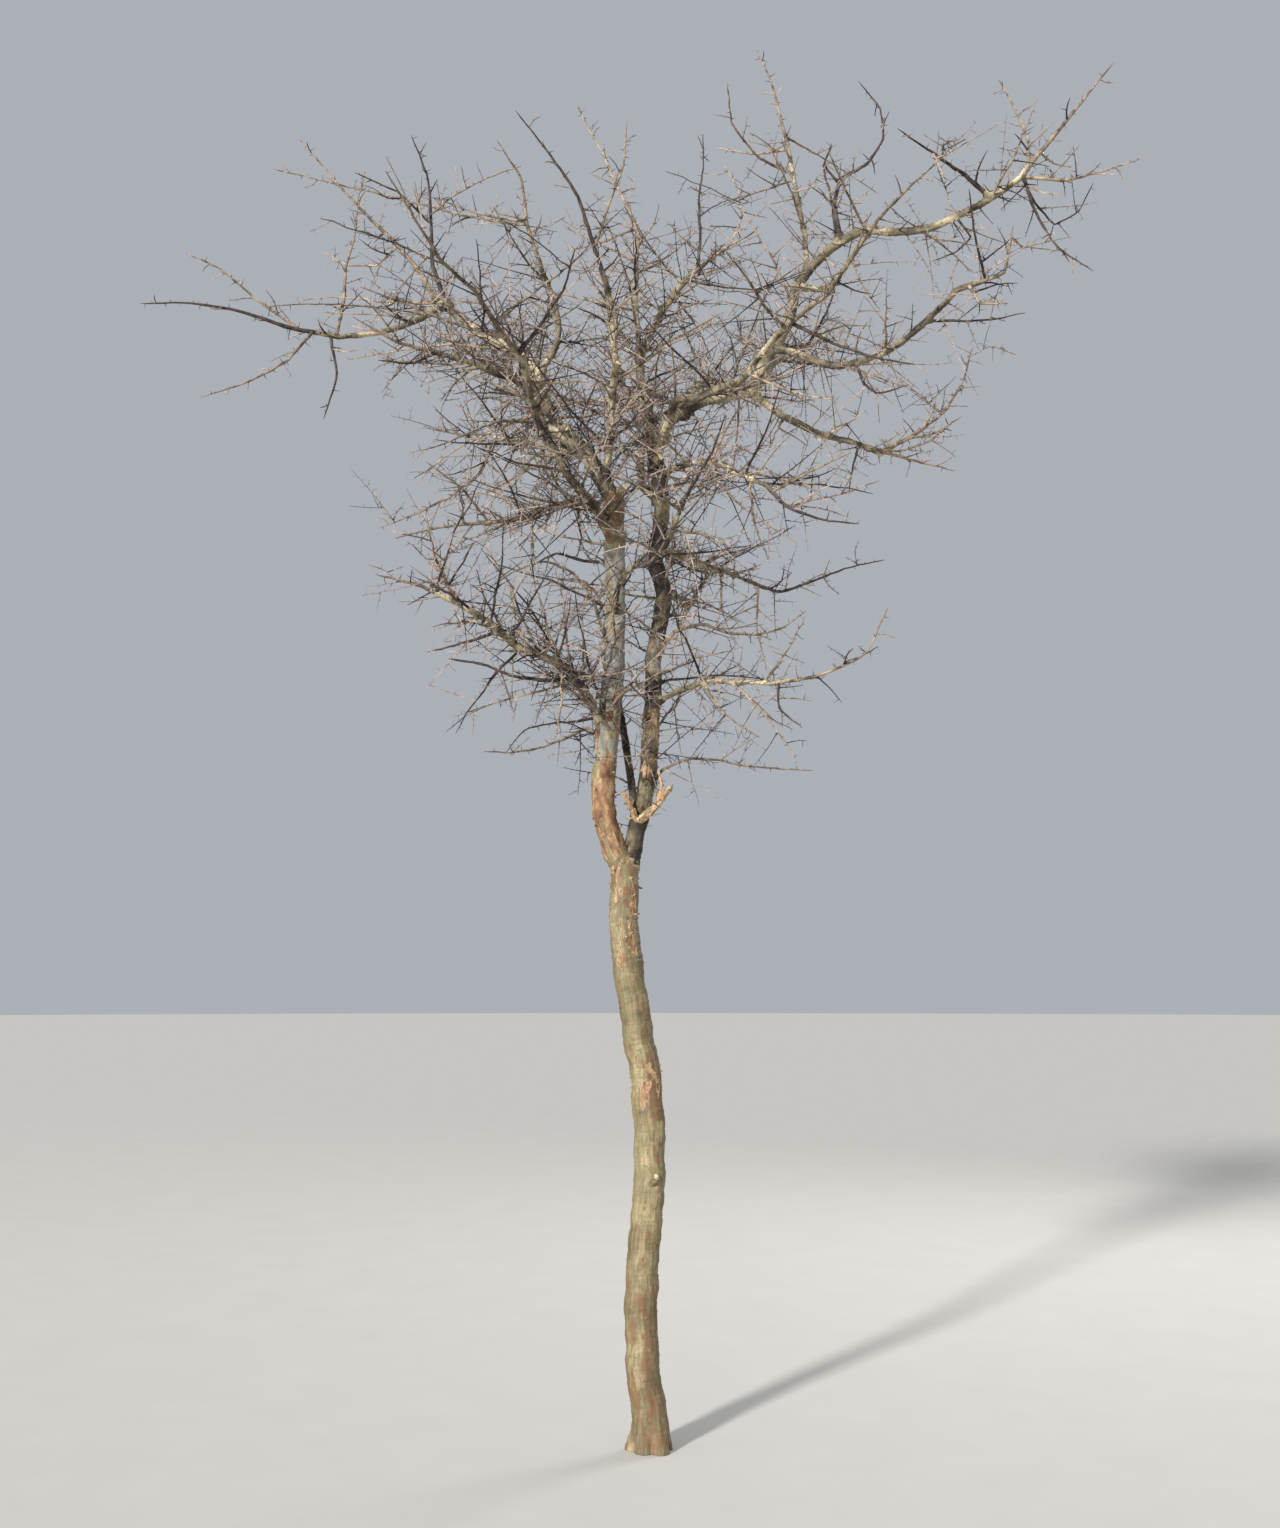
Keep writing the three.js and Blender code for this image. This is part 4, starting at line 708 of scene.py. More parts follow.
def growTwig(twig, kind, draw, tint):
    # one twig with its twiglets and spines
    heap = heaps[f"twigs_{tint}"]
    line = addTwig(twig, kind, heap, draw)
    rule = twigRules["twiglet"]
    if lineLength(line["points"]) > twigLook["twigletLeast"]:
        slots = max(1, budsOn(line, rule))
        for slot in range(slots):
            if draw() < twigLook["twigletChance"]:
                small = outgrowth(line, slot, slots, draw, rule)
                if isInReach(small):
                    smallLine = addTwig(small, "twiglet", heap, draw)
                    if lineLength(smallLine["points"]) > twigLook["spineTwigletLeast"]:
                        growSpines(smallLine, tint, draw)
    growSpines(line, tint, draw)


def growFine(line, density, draw, isWelcome, spines=True, reach=1):
    # fine twigs and spines all along a leading twig or limb, fewer towards a twig's tip
    rule = twigRules["fine"]
    slots = max(1, budsOn(line, rule, density))
    for slot in range(slots):
        twig = outgrowth(line, slot, slots, draw, rule, reach)
        isBare = spines and draw() < twigLook["tipBareness"] * (slot / slots) ** 2
        if not isBare and isInReach(twig) and isWelcome(twig):
            growTwig(twig, "fine", draw, pickTint(draw))
    if spines:
        growSpines(line, "grey", draw, twigLook["leaderSpineChance"])


def growWhips(line, density, draw, isWelcome):
    # long side shoots, set with fine twigs of their own
    rule = twigRules["whip"]
    slots = budsOn(line, rule, density)
    for slot in range(slots):
        twig = outgrowth(line, slot, slots, draw, rule)
        if isInReach(twig) and isWelcome(twig):
            heap = heaps[pickTint(seededDraw(len(heaps["leaders"]["points"]) + slot), leaderTints)]
            shoot = addTwig(twig, "whip", heap, draw)
            growFine(shoot, 1, draw, lambda small: isClearOfLimbs(small, clearance["massFine"]))


def addLeader(line, tintSeed):
    heap = heaps[pickTint(seededDraw(tintSeed), leaderTints)]
    addTube(heap, line, twigLook["sides"]["leader"])


def growMass(mass):
    name, seed = mass["name"], mass["seed"]
    reach = twigReach.get(name, 1)
    whips, fine = thickness.get(name, (1, 1))
    for arm, leader in enumerate(leaders[name]):
        draw = seededDraw(seed * seeds["leader"] + arm)
        line = budded(leader, draw)
        addLeader(line, seed * seeds["leaderTint"] + arm)
        chord = (leader["points"][-1] - leader["points"][0]).length
        slots = max(1, round(chord / twigRules["side"]["spacing"]))
        for slot in range(slots):
            ruleDraw = seededDraw(seed * seeds["mass"] + arm * seeds["arm"] + slot)
            twig = outgrowth(leader, slot, slots, ruleDraw, twigRules["side"], reach)
            if isKept(twig, name, clearance["twig"]):
                growTwig(twig, "side", draw, pickTint(draw))
        growWhips(line, whips * twigRules["whip"]["spacing"] / leaderWhips, draw,
                  lambda twig: isKept(twig, name, clearance["twig"]))
        growFine(line, fine, draw, lambda twig: isKept(twig, name, clearance["massFine"]), reach=reach)


def growLimbTwigs(name, index):
    # whips and fine twigs straight out of a limb, past its first stretch
    whips, fine = thickness.get(name, (1, 1))
    draw = seededDraw(seeds["limb"] + seeds["nextLimb"] * index)
    route = smoothed(routes[name], twigLook["limbStep"])
    first = round(twigLook["bareFeet"].get(name, twigLook["bareFoot"]) / twigLook["limbStep"])
    line = {key: values[first:] for key, values in route.items()}

    def welcome(clear):
        def isWelcome(twig):
            isClear = isClearOfLimbs(twig, clear, name)
            if isClear:
                twigFeet[name].append((twig["points"][0], twig["points"][1], twig["radii"][0]))
            return isClear

        return isWelcome

    growWhips(line, whips, draw, welcome(clearance["limbWhip"]))
    growFine(line, fine, draw, welcome(clearance["fine"]), spines=False)


def growLong(twig):
    draw = seededDraw(twig["seed"])
    carrier = twig["from"]
    root, _, _ = placeOn(routes.get(carrier) or leaders[carrier][0], twig["at"])
    points, _ = curveThrough([root, *twig["route"]], stride["long"])
    line = budded(tapered(points, twig["girth"]), draw)
    addLeader(line, twig["seed"])
    if carrier in twigFeet:  # its foot points at its fourth bud, clear of the limb
        twigFeet[carrier].append((line["points"][0], line["points"][4], twig["girth"][0] / 2))
    growFine(line, twig.get("fine", 1), draw, lambda small: isClearOfLimbs(small, clearance["fine"]))


for mass in masses:
    growMass(mass)
print("masses grown")
for index, name in enumerate(limbOf):
    growLimbTwigs(name, index)
for twig in longTwigs.values():
    growLong(twig)
for name, heap in heaps.items():
    print("grown", name, sum(len(face) - 2 for face in heap["faces"]), "triangles")


# Bark: rings extruded along each limb's route, joined, skinned over as one and worked with relief

boughBark = {"slot": "bough_bark", "look": "bough", "voxel": 0.0038, "sides": 10,
             "lumps": (0.035, 0.005), "rings": (0.02, 0.006, 0.0018), "grit": 0.0012}
boughs = [name for name in routes if name.startswith("bough")]
boughsLeft = [name for name in boughs if name.startswith("bough_left")]
boughsRight = [name for name in boughs if name.startswith("bough_right")]
boughsCentre = [name for name in boughs if name not in boughsLeft + boughsRight]
barkPieces = {
    "bark_trunk": {"limbs": ["trunk", "stem_left"], "slot": "pale_bark", "look": "pale", "voxel": 0.0045,
                   "sides": 16, "lumps": (0.09, 0.008), "rings": (0.05, 0.009, 0.0022), "grit": 0.0012},
    "bark_stem_right": {"limbs": ["stem_right"], "slot": "dark_bark", "look": "dark", "voxel": 0.004,
                        "sides": 12, "lumps": (0.06, 0.007), "rings": (0.03, 0.01, 0.0022),
                        "grit": 0.0012},
    "bark_boughs_left": {**boughBark, "limbs": boughsLeft},
    "bark_boughs_right": {**boughBark, "limbs": boughsRight},
    "bark_boughs_centre": {**boughBark, "limbs": boughsCentre, "voxel": 0.004},
    "bark_stubs": {"limbs": [], "slot": "pale_bark", "look": "stub", "voxel": 0.0024, "sides": 10,
                   "lumps": (0.02, 0.008), "rings": (0.015, 0.006, 0.0016), "grit": 0.001},
}
gritSize = 0.012
limbReach = 0.12  # bark further than this from a limb's middle line belongs to another
leastTurn = 0.00001  # radians
smoothing = {"factor": 0.5, "iterations": 3}
growth = {
    "stride": 0.025,  # from ring to ring along a limb
    "wander": 0.14,  # how far a ring strays, as a share of the limb's radius
    "swell": 0.09,  # how much a ring swells or shrinks
    "wanderPace": 0.37, "swellPace": 1.7,  # how quickly these come and go from ring to ring
    "collar": 0.55, "stemCollar": 0.2,  # how much a bough and a stem widen where they leave their carrier
    "collarReach": 1.2,  # over how many of the limb's tip radii
    "cuffReach": 1.7, "cuffGirths": (1.3, 1.06),  # the ridge of the carrier's own bark round a bough's foot
    "forkGirths": (0.8, 1.05),  # the same round a stem's foot
    "runOn": (0.03, 0.055, 0.085),  # how far a bough runs on along the leading twig at its tip
    "runOnGirths": (1.35, 1.18, 1.05),
}
footPlan = {"girths": (2.6, 1.9, 1.08), "reach": 2.5, "sides": 8}  # of the feet under twigs, in twig radii
toes = {  # the spread of the roots at the trunk's foot: each toe's places out and up, and their radii
    "count": 5, "reach": 0.047, "turn": 0.4, "uneven": 0.18, "pace": 3.7, "sides": 10,
    "outs": (1.05, 1, 0.72, 0.4, 0.2), "heights": (-0.04, 0, 0.06, 0.15, 0.27),
    "radii": (0.036, 0.034, 0.034, 0.038, 0.036), "lean": -0.02,
}

# Short limbs that are no nodes of their own: the bark piece they belong to, their thickness and route
extraLimbs = [
    {"name": "slim_stem", "piece": "bark_stem_right", "girth": (0.03, 0.026),
     "route": [(-0.05, 0.018, 2.1), (-0.06, 0.06, 2.22), (-0.078, 0.1, 2.36), (-0.1, 0.11, 2.5),
               (-0.125, 0.1, 2.66), (-0.118, 0.02, 2.85)]},
    {"name": "stub_vee_left", "piece": "bark_stubs", "girth": (0.026, 0.016),
     "route": [(-0.045, 0.02, 2.12), (-0.055, -0.02, 2.145), (-0.07, -0.035, 2.175),
               (-0.094, -0.045, 2.22)]},
    {"name": "stub_vee_right", "piece": "bark_stubs", "girth": (0.036, 0.022),
     "route": [(-0.045, 0.02, 2.115), (-0.02, -0.025, 2.135), (0.028, -0.045, 2.18),
               (0.072, -0.055, 2.24)]},
    {"name": "stub_knob", "piece": "bark_stubs", "girth": (0.018, 0.012),
     "route": [(0.025, -0.045, 2.175), (0.04, -0.052, 2.235), (0.03, -0.05, 2.3)]},
    # The sawn stubs below turn their faces to the camera; their cream is bare wood and partly a painted
    # highlight for sunlit spots on the limbs
    {"name": "cut_outer", "piece": "bark_stubs", "girth": (0.032, 0.028),
     "route": [(-0.315, -0.025, 3.535), (-0.31, -0.06, 3.53), (-0.302, -0.1, 3.525)]},
    {"name": "cut_crown", "piece": "bark_stubs", "girth": (0.03, 0.025),
     "route": [(-0.13, -0.085, 3.72), (-0.12, -0.118, 3.735), (-0.11, -0.145, 3.75)]},
    {"name": "cut_right", "piece": "bark_stubs", "girth": (0.034, 0.03),
     "route": [(0.02, 0.098, 3.455), (0.03, 0.07, 3.46), (0.038, 0.05, 3.465)]},
    {"name": "cut_left", "piece": "bark_stubs", "girth": (0.03, 0.026),
     "route": [(-0.125, -0.05, 3.285), (-0.1, -0.075, 3.3), (-0.086, -0.09, 3.31)]},
    {"name": "cut_trunk", "piece": "bark_stubs", "girth": (0.034, 0.028),
     "route": [(-0.015, -0.02, 0.86), (0.01, -0.05, 0.885), (0.024, -0.068, 0.905)]},
]

# Where bark has peeled: where along the limb the patch starts and ends, in metres, and how bare it is
peelZones = [
    {"limb": "stem_left", "span": (0.06, 0.34), "bare": 0.34},
    {"limb": "stem_left", "span": (0.26, 0.5), "bare": 0.2},
    {"limb": "stem_left", "span": (0.4, 0.66), "bare": -0.02},
    {"limb": "stem_right", "span": (0.36, 0.64), "bare": 0.1},
    {"limb": "trunk", "span": (1.1, 1.36), "bare": -0.3},
    {"limb": "trunk", "span": (1.6, 2.2), "bare": -0.26},
    *({"limb": extra["name"], "span": (-1, 9), "bare": 0.3} for extra in extraLimbs
      if extra["name"].startswith("stub")),
]
peelRough = {
    "edge": 0.09, "slope": 0.55, "strips": (42, 42, 9), "shreds": (95, 95, 26), "shredShare": 0.7,
    "leastFade": 0.02,
    "bared": (-0.02, 0.03), "lipped": (-0.1, -0.02),  # from bark to bare wood, and the lip before it
    "sink": 0.0017, "lipRise": 0.0011, "calm": 0.7,  # how much lower, higher and smoother these are
    "flakeEdge": 0.025,  # flakes stand where the bark is this near to bare
    "cutWood": 2, "cutSkin": 0.0006,  # the bareness of a sawn face, and how deep it lies at most
}

# Where bark is stained or painted with shade; spans as above. Near black is painted shade, rusty brown is a
# stain that on the trunk is partly painted shade, grey is grey bark that on the left stem is partly a
# painted sky reflection
stainAndShadeZones = [
    # Near black on the right stem: painted shade of the twigs and boughs over it
    {"limb": "stem_right", "span": (1, 1.28), "stain": "painted_shade", "share": 1},
    {"limb": "stem_right", "span": (0.56, 0.86), "stain": "painted_shade", "share": 0.6},
    {"limb": "stem_right", "span": (0.06, 0.34), "stain": "painted_shade", "share": 0.35},
    {"limb": "stem_right", "span": (0.3, 0.72), "stain": "rust_and_shade", "share": 0.55},
    {"limb": "stem_right", "span": (0.7, 1.02), "stain": "ash_and_sheen", "share": 0.5},
    {"limb": "stem_left", "span": (1.2, 1.6), "stain": "rust_and_shade", "share": 0.85, "edge": 0.07},
    {"limb": "stem_left", "span": (0, 0.42), "stain": "rust_and_shade", "share": 0.6},
    # Grey on the left stem: partly grey bark, partly a painted sky reflection and painted light on a
    # stretch the crown shades
    {"limb": "stem_left", "span": (0.34, 1.27), "stain": "ash_and_sheen", "share": 0.85},
    {"limb": "bough_left_low", "span": (0.1, 0.7), "stain": "rust_and_shade", "share": 0.45},
    # Near black on the inner left bough: painted shade
    {"limb": "bough_left_inner", "span": (-0.1, 0.24), "stain": "painted_shade", "share": 0.75},
    {"limb": "bough_left_inner", "span": (0.27, 0.52), "stain": "painted_shade", "share": 0.7},
    {"limb": "bough_front_left", "span": (-0.1, 0.5), "stain": "rust_and_shade", "share": 0.6},
    # Near black on the low front bough: painted shade
    {"limb": "bough_front_low", "span": (-0.3, 0.7), "stain": "painted_shade", "share": 0.62},
    {"limb": "trunk", "span": (1.55, 2.2), "stain": "rust_and_shade", "share": 0.45},
    # Rusty brown towards the trunk's right side, which faces away from the key light, and at its foot:
    # partly a rusty stain, partly painted shade
    {"limb": "trunk", "span": (-0.5, 2.2), "stain": "rust_and_shade", "share": 0.42, "toward": (1, -0.3, 0)},
    {"limb": "trunk", "span": (1.02, 1.42), "stain": "rust_and_shade", "share": 0.85, "toward": (1, -0.4, 0)},
    {"limb": "trunk", "span": (-0.5, 0.95), "stain": "rust_and_shade", "share": 0.62, "edge": 0.4},
]
stainAndShadeEdge = 0.12
stainAndShadeTurn = (-0.1, 0.8)  # how far the bark turns toward a side where the rusty stain and painted shade start and are full
seedStep = 3.1  # from limb to limb in the space that the bark's patterns lie in
flakes = {"count": 130, "tries": 6, "seed": 404, "gap": 0.012, "length": (0.006, 0.02),
          "width": (0.004, 0.01), "thick": 0.0008, "lift": 6, "curl": (20, 100), "swing": 60,
          "steps": 5, "narrowing": 0.07, "sunk": 0.001, "across": (0, 1, 0.2)}


def selectOnly(*pieces):
    # with no piece, everything is deselected
    bpy.ops.object.select_all(action='DESELECT')
    for piece in reversed(pieces):
        piece.select_set(True)
        bpy.context.view_layer.objects.active = piece


def growLimb(points, radii, sides):
    # a ring is extruded from point to point, scaled and turned to face along the limb
    heading = (points[1] - points[0]).normalized()
    selectOnly()
    bpy.ops.mesh.primitive_circle_add(vertices=sides, radius=radii[0], fill_type='NGON', location=points[0],
                                      rotation=heading.to_track_quat('Z', 'X').to_euler())
    bpy.ops.object.transform_apply(location=True, rotation=True, scale=True)
    bpy.ops.object.mode_set(mode='EDIT')
    last = len(points) - 1
    for k in range(1, last + 1):
        bpy.ops.mesh.extrude_region_move(TRANSFORM_OT_translate={'value': points[k] - points[k - 1]})
        bpy.ops.transform.resize(value=[radii[k] / radii[k - 1]] * 3, center_override=points[k])
        nextHeading = (points[min(k + 1, last)] - points[k - 1]).normalized()
        turn = heading.rotation_difference(nextHeading).to_euler('XYZ')
        for axis, angle in zip('XYZ', turn):
            if abs(angle) > leastTurn:
                bpy.ops.transform.rotate(value=-angle, orient_axis=axis, center_override=points[k])
        heading = nextHeading
    bpy.ops.object.mode_set(mode='OBJECT')
    return bpy.context.object


noise.seed_set(1)  # without a seed, noise_vector starts from the clock


def carrierRadiusOf(name):
    limb = limbOf[name]
    return placeOn(routes[limb["from"]], limb["at"])[1]


def limbShape(name):
    # a limb's route as its bark follows it: wandering, swelling, and wider at the foot
    line = smoothed(routes[name], growth["stride"])
    points, radii = line["points"], line["radii"]
    foot = points[0]
    start = 7 * len(name) + 3 * ord(name[-1])  # a stretch of noise of its own for each limb
    for k in range(1, len(points)):
        spot = Vector((k * growth["wanderPace"], start, 0))
        points[k] = points[k] + noise.noise_vector(spot) * growth["wander"] * radii[k]
        radii[k] *= 1 + growth["swell"] * noise.noise(spot * growth["swellPace"])
    if name in limbOf and limbOf[name]["at"] < 1:
        widening = growth["stemCollar" if name.startswith("stem") else "collar"]
        for k, point in enumerate(points):
            past = max(0, (point - foot).length - carrierRadiusOf(name))
            radii[k] *= 1 + widening * math.exp(-past / (growth["collarReach"] * radii[-1]))
    for stem in (leaders[mass["name"]][0] for mass in masses if (mass["from"], mass["at"]) == (name, 1)):
        length = lineLength(stem["points"])
        past = (points[-1] - stem["points"][0]).length
        for run, girth in zip(growth["runOn"], growth["runOnGirths"]):
            point, radius, _ = placeOn(stem, (past + run) / length)
            points.append(point)
            radii.append(radius * girth)
    return points, radii


shapes = {name: limbShape(name) for name in routes}


def cuffOf(name):
    # the first stretch of a limb, a little wider: the ridge that its carrier's bark makes round it
    points, radii = shapes[name]
    reach = carrierRadiusOf(name) + growth["cuffReach"] * radii[-1]
    last = max(2, sum((point - points[0]).length < reach for point in points))
    ends = growth["forkGirths" if name.startswith("stem") else "cuffGirths"]
    girths = [radius * between(ends, k / last) for k, radius in enumerate(radii[:last + 1])]
    return points[:last + 1], girths


def meshPiece(name, heap):
    mesh = bpy.data.meshes.new(name)
    mesh.from_pydata(heap["points"], [], heap["faces"])
    piece = bpy.data.objects.new(name, mesh)
    bpy.context.collection.objects.link(piece)
    return piece


def growFeet(name, parts):
    # short wide feet under the twigs that leave a limb, many and small, so from arrays
    heap = newHeap()
    stems = [leaders[mass["name"]][0] for mass in masses if mass["from"] == name and mass["at"] < 1]
    feet = twigFeet[name] + [(stem["points"][0], stem["points"][1], stem["radii"][0]) for stem in stems]
    for root, beyond, radius in feet:
        inside = min(routes[name]["radii"]) + radius
        ahead = (beyond - root).normalized()
        outs = (0, inside, inside + footPlan["reach"] * radius)
        line = {"points": [root + ahead * out for out in outs],
                "radii": [girth * radius for girth in footPlan["girths"]]}
        addTube(heap, line, footPlan["sides"])
    if feet:
        parts.append(meshPiece(f"{name}_feet", heap))


def growToes(parts):
    for k in range(toes["count"]):
        angle = toes["turn"] + 2 * math.pi * k / toes["count"]
        out = Vector((math.cos(angle), math.sin(angle), 0)) * toes["reach"]
        uneven = 1 + toes["uneven"] * math.sin(toes["pace"] * k)
        outs = [share * uneven if share >= 1 else share for share in toes["outs"]]
        points = [out * share + Vector((0, 0, height)) for share, height in zip(outs, toes["heights"])]
        points[-1] += Vector((toes["lean"], 0, 0))
        parts.append(growLimb(points, toes["radii"], toes["sides"]))


def joined(parts, name):
    selectOnly(*parts)
    if len(parts) > 1:
        bpy.ops.object.join()
    piece = bpy.context.object
    piece.name = name
    piece.data.name = name
    return piece


def modified(piece, kind, **settings):
    selectOnly(piece)
    bpy.ops.object.modifier_add(type=kind)
    modifier = piece.modifiers[-1]
    for key, value in settings.items():
        setattr(modifier, key, value)
    bpy.ops.object.modifier_apply(modifier=modifier.name)


def displaced(piece, size, depth):
    texture = bpy.data.textures.new(f"{piece.name}_relief", 'CLOUDS')
    texture.noise_scale = size
    modified(piece, 'DISPLACE', texture=texture, texture_coords='LOCAL', strength=depth, mid_level=0.5)
    bpy.data.textures.remove(texture)


def alongLimbs(spots, names):
    # for each spot: its place round and along the nearest limb, straightened to run up Z, and which limb
    best = np.full(len(spots), np.inf)
    space = np.zeros((len(spots), 3))
    owner = np.zeros(len(spots), int)
    for index, name in enumerate(names):
        points, radii = shapes[name]
        line = np.array([tuple(p) for p in points])
        girth = np.array(radii)
        run = line[1:] - line[:-1]
        lengths = np.linalg.norm(run, axis=1)
        starts = np.concatenate([[0], np.cumsum(lengths)[:-1]])
        sides = np.array([tuple(across) for _, across in headingsAlong(points)])
        low, high = line.min(0) - limbReach, line.max(0) + limbReach
        near = np.nonzero(((spots > low) & (spots < high)).all(1) | (best == np.inf))[0]
        for chunk in np.array_split(near, max(1, len(near) // 20000)):  # to spare memory
            share, offset = nearestOn((line[:-1], line[1:]), spots[chunk])
            gap = np.linalg.norm(offset, axis=2) - (girth[:-1] + share * (girth[1:] - girth[:-1]))
            k = gap.argmin(1)
            row = np.arange(len(chunk))
            t, away = share[row, k], offset[row, k]
            side = sides[k] * (1 - t)[:, None] + sides[k + 1] * t[:, None]
            square = np.cross(run[k] / lengths[k][:, None], side)
            place = np.stack([(away * side).sum(1), (away * square).sum(1), starts[k] + t * lengths[k]], 1)
            closer = gap[row, k] < best[chunk]
            best[chunk[closer]] = gap[row, k][closer]
            space[chunk[closer]] = place[closer]
            owner[chunk[closer]] = index
    return space, owner


def smoothStep(low, high, values):
    t = np.clip((values - low) / (high - low), 0, 1)
    return t * t * (3 - 2 * t)


def fadeIn(along, inside, span, edge):
    # 1 within a span along a limb, down to 0 at its ends
    start, end = span
    return inside * smoothStep(start, start + edge, along) * (1 - smoothStep(end - edge, end, along))


def peelOf(space, owner, names):
    # how far the bark has peeled: below 0 is bark, above it bare wood
    peel = np.full(len(space), -1.0)
    for zone in peelZones:
        if zone["limb"] in names:
            inside = owner == names.index(zone["limb"])
            fade = fadeIn(space[:, 2], inside, zone["span"], peelRough["edge"])
            for k in np.nonzero(fade > peelRough["leastFade"])[0]:
                place = Vector(space[k])
                strips = noise.noise(place * Vector(peelRough["strips"]))
                shreds = noise.noise(place * Vector(peelRough["shreds"])) * peelRough["shredShare"]
                bareness = strips + shreds + zone["bare"] - peelRough["slope"] * (1 - fade[k])
                peel[k] = max(peel[k], bareness)
    for name in names:
        if name.startswith("cut"):
            face = lineLength(shapes[name][0]) - peelRough["cutSkin"]
            peel[(owner == names.index(name)) & (space[:, 2] > face)] = peelRough["cutWood"]
    return peel


def readVertices(values, key):
    spots = np.empty(len(values) * 3)
    values.foreach_get(key, spots)
    return spots.reshape(-1, 3)


def workBark(piece, names, look):
    # relief that follows each limb, and how far the bark has peeled, is stained and carries painted shade
    # and painted reflection, kept as attributes
    mesh = piece.data
    spots = readVertices(mesh.vertices, "co")
    normals = readVertices(mesh.vertex_normals, "vector")
    space, owner = alongLimbs(spots, names)
    shift = np.outer(owner * seedStep, (1, 0, 0))
    across, along, depth = look["rings"]
    shrink = Vector((1 / across, 1 / across, 1 / along))
    rings = np.array([noise.noise(Vector(place) * shrink + Vector(away))
                      for place, away in zip(space, shift)])
    peel = peelOf(space, owner, names)
    bare = smoothStep(*peelRough["bared"], peel)
    lip = smoothStep(*peelRough["lipped"], peel) * (1 - bare)
    rise = rings * depth * (1 - peelRough["calm"] * bare)
    rise = rise - peelRough["sink"] * bare + peelRough["lipRise"] * lip
    spots += normals * rise[:, None]
    mesh.vertices.foreach_set("co", spots.ravel())
    placed = mesh.attributes.new("barkSpace", 'FLOAT_VECTOR', 'POINT')
    placed.data.foreach_set("vector", (space + shift).ravel())
    values = {"peel": peel, **{stain: np.zeros(len(spots)) for stain in ("painted_shade", "rust_and_shade", "ash_and_sheen")}}
    for zone in stainAndShadeZones:
        if zone["limb"] in names:
            inside = owner == names.index(zone["limb"])
            fade = fadeIn(space[:, 2], inside, zone["span"], zone.get("edge", stainAndShadeEdge))
            if "toward" in zone:
                fade = fade * smoothStep(*stainAndShadeTurn, normals @ np.array(zone["toward"]))
            values[zone["stain"]] = np.maximum(values[zone["stain"]], fade * zone["share"])
    for key, value in values.items():
        mesh.attributes.new(key, 'FLOAT', 'POINT').data.foreach_set("value", value)
    mesh.update()
    edges = np.nonzero(np.abs(peel) < peelRough["flakeEdge"])[0]
    flakeSpots.extend((Vector(spots[k]), Vector(normals[k])) for k in edges)


def addFlake(heap, root, normal, draw):
    # a strip of bark that leaves the limb and curls over
    ahead = normal.cross(Vector(flakes["across"])).normalized().cross(normal) * (1 if draw() < 0.5 else -1)
    ahead = Quaternion(normal, math.radians(flakes["swing"] * (draw() - 0.5))) @ ahead
    side = ahead.cross(normal).normalized()
    length, width, curl = (between(flakes[key], draw()) for key in ("length", "width", "curl"))
    point, rings = root - normal * flakes["sunk"], []
    for k in range(flakes["steps"] + 1):
        angle = math.radians(flakes["lift"] + curl * k / flakes["steps"])
        heading = ahead * math.cos(angle) + normal * math.sin(angle)
        square = heading.cross(side) * flakes["thick"] / 2
        half = side * width * (0.5 - flakes["narrowing"] * k * draw())
        rings.append([point + half - square, point + half + square, point - half + square,
                      point - half - square])
        point = point + heading * length / flakes["steps"]
    addShell(heap, rings)


def growFlakes():
    draw = seededDraw(flakes["seed"])
    heap = newHeap()
    taken = []
    for attempt in range(flakes["count"] * flakes["tries"]):
        root, normal = flakeSpots[int(draw() * len(flakeSpots))]
        if len(taken) < flakes["count"] and all((root - other).length > flakes["gap"] for other in taken):
            taken.append(root)
            addFlake(heap, root, normal, draw)
    return heap


def cutAtGround(piece):
    selectOnly(piece)
    bpy.ops.object.mode_set(mode='EDIT')
    bpy.ops.mesh.select_all(action='SELECT')
    bpy.ops.mesh.bisect(plane_co=(0, 0, 0), plane_no=(0, 0, 1), use_fill=True, clear_inner=True)
    bpy.ops.object.mode_set(mode='OBJECT')


def makeBark(name, look):
    names, sides = look["limbs"], look["sides"]
    extras = [extra for extra in extraLimbs if extra["piece"] == name]
    parts = [growLimb(*shapes[limb], sides) for limb in names]
    for extra in extras:
        line = tapered(curveThrough(extra["route"], growth["stride"])[0], extra["girth"])
        shapes[extra["name"]] = (line["points"], line["radii"])
        parts.append(growLimb(line["points"], line["radii"], sides))
    for limb in limbs:
        if limb["from"] in names and limb["name"] not in names and limb["at"] < 1:
            parts.append(growLimb(*cuffOf(limb["name"]), sides))
    for limb in names:
        growFeet(limb, parts)
    if name == "bark_trunk":
        growToes(parts)
    piece = joined(parts, name)
    modified(piece, 'REMESH', mode='VOXEL', voxel_size=look["voxel"], use_smooth_shade=True)
    modified(piece, 'SMOOTH', **smoothing)
    displaced(piece, *look["lumps"])
    displaced(piece, gritSize, look["grit"])
    workBark(piece, names + [extra["name"] for extra in extras], look)
    if name == "bark_trunk":
        cutAtGround(piece)
    bpy.ops.object.shade_smooth()
    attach(piece, "root")
    if names:
        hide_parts(*names)
    print("bark made:", name, len(piece.data.polygons), "faces")
    return piece


flakeSpots = []  # places on the edges of the peeled patches, and the way the bark faces there
barks = {name: makeBark(name, look) for name, look in barkPieces.items()}
heaps["bark_flakes"] = growFlakes()


# Materials

def tone(red, green, blue):
    # a colour given as 0 to 255, as the shader's linear values
    def linear(value):
        share = value / 255
        return share / 12.92 if share <= 0.04045 else ((share + 0.055) / 1.055) ** 2.4

    return (linear(red), linear(green), linear(blue), 1)


def addNode(tree, kind, settings=None, inputs=None):
    node = tree.nodes.new(kind)
    for key, value in (settings or {}).items():
        setattr(node, key, value)
    for key, value in (inputs or {}).items():
        if isinstance(value, bpy.types.NodeSocket):
            tree.links.new(value, node.inputs[key])
        else:
            node.inputs[key].default_value = value
    return node


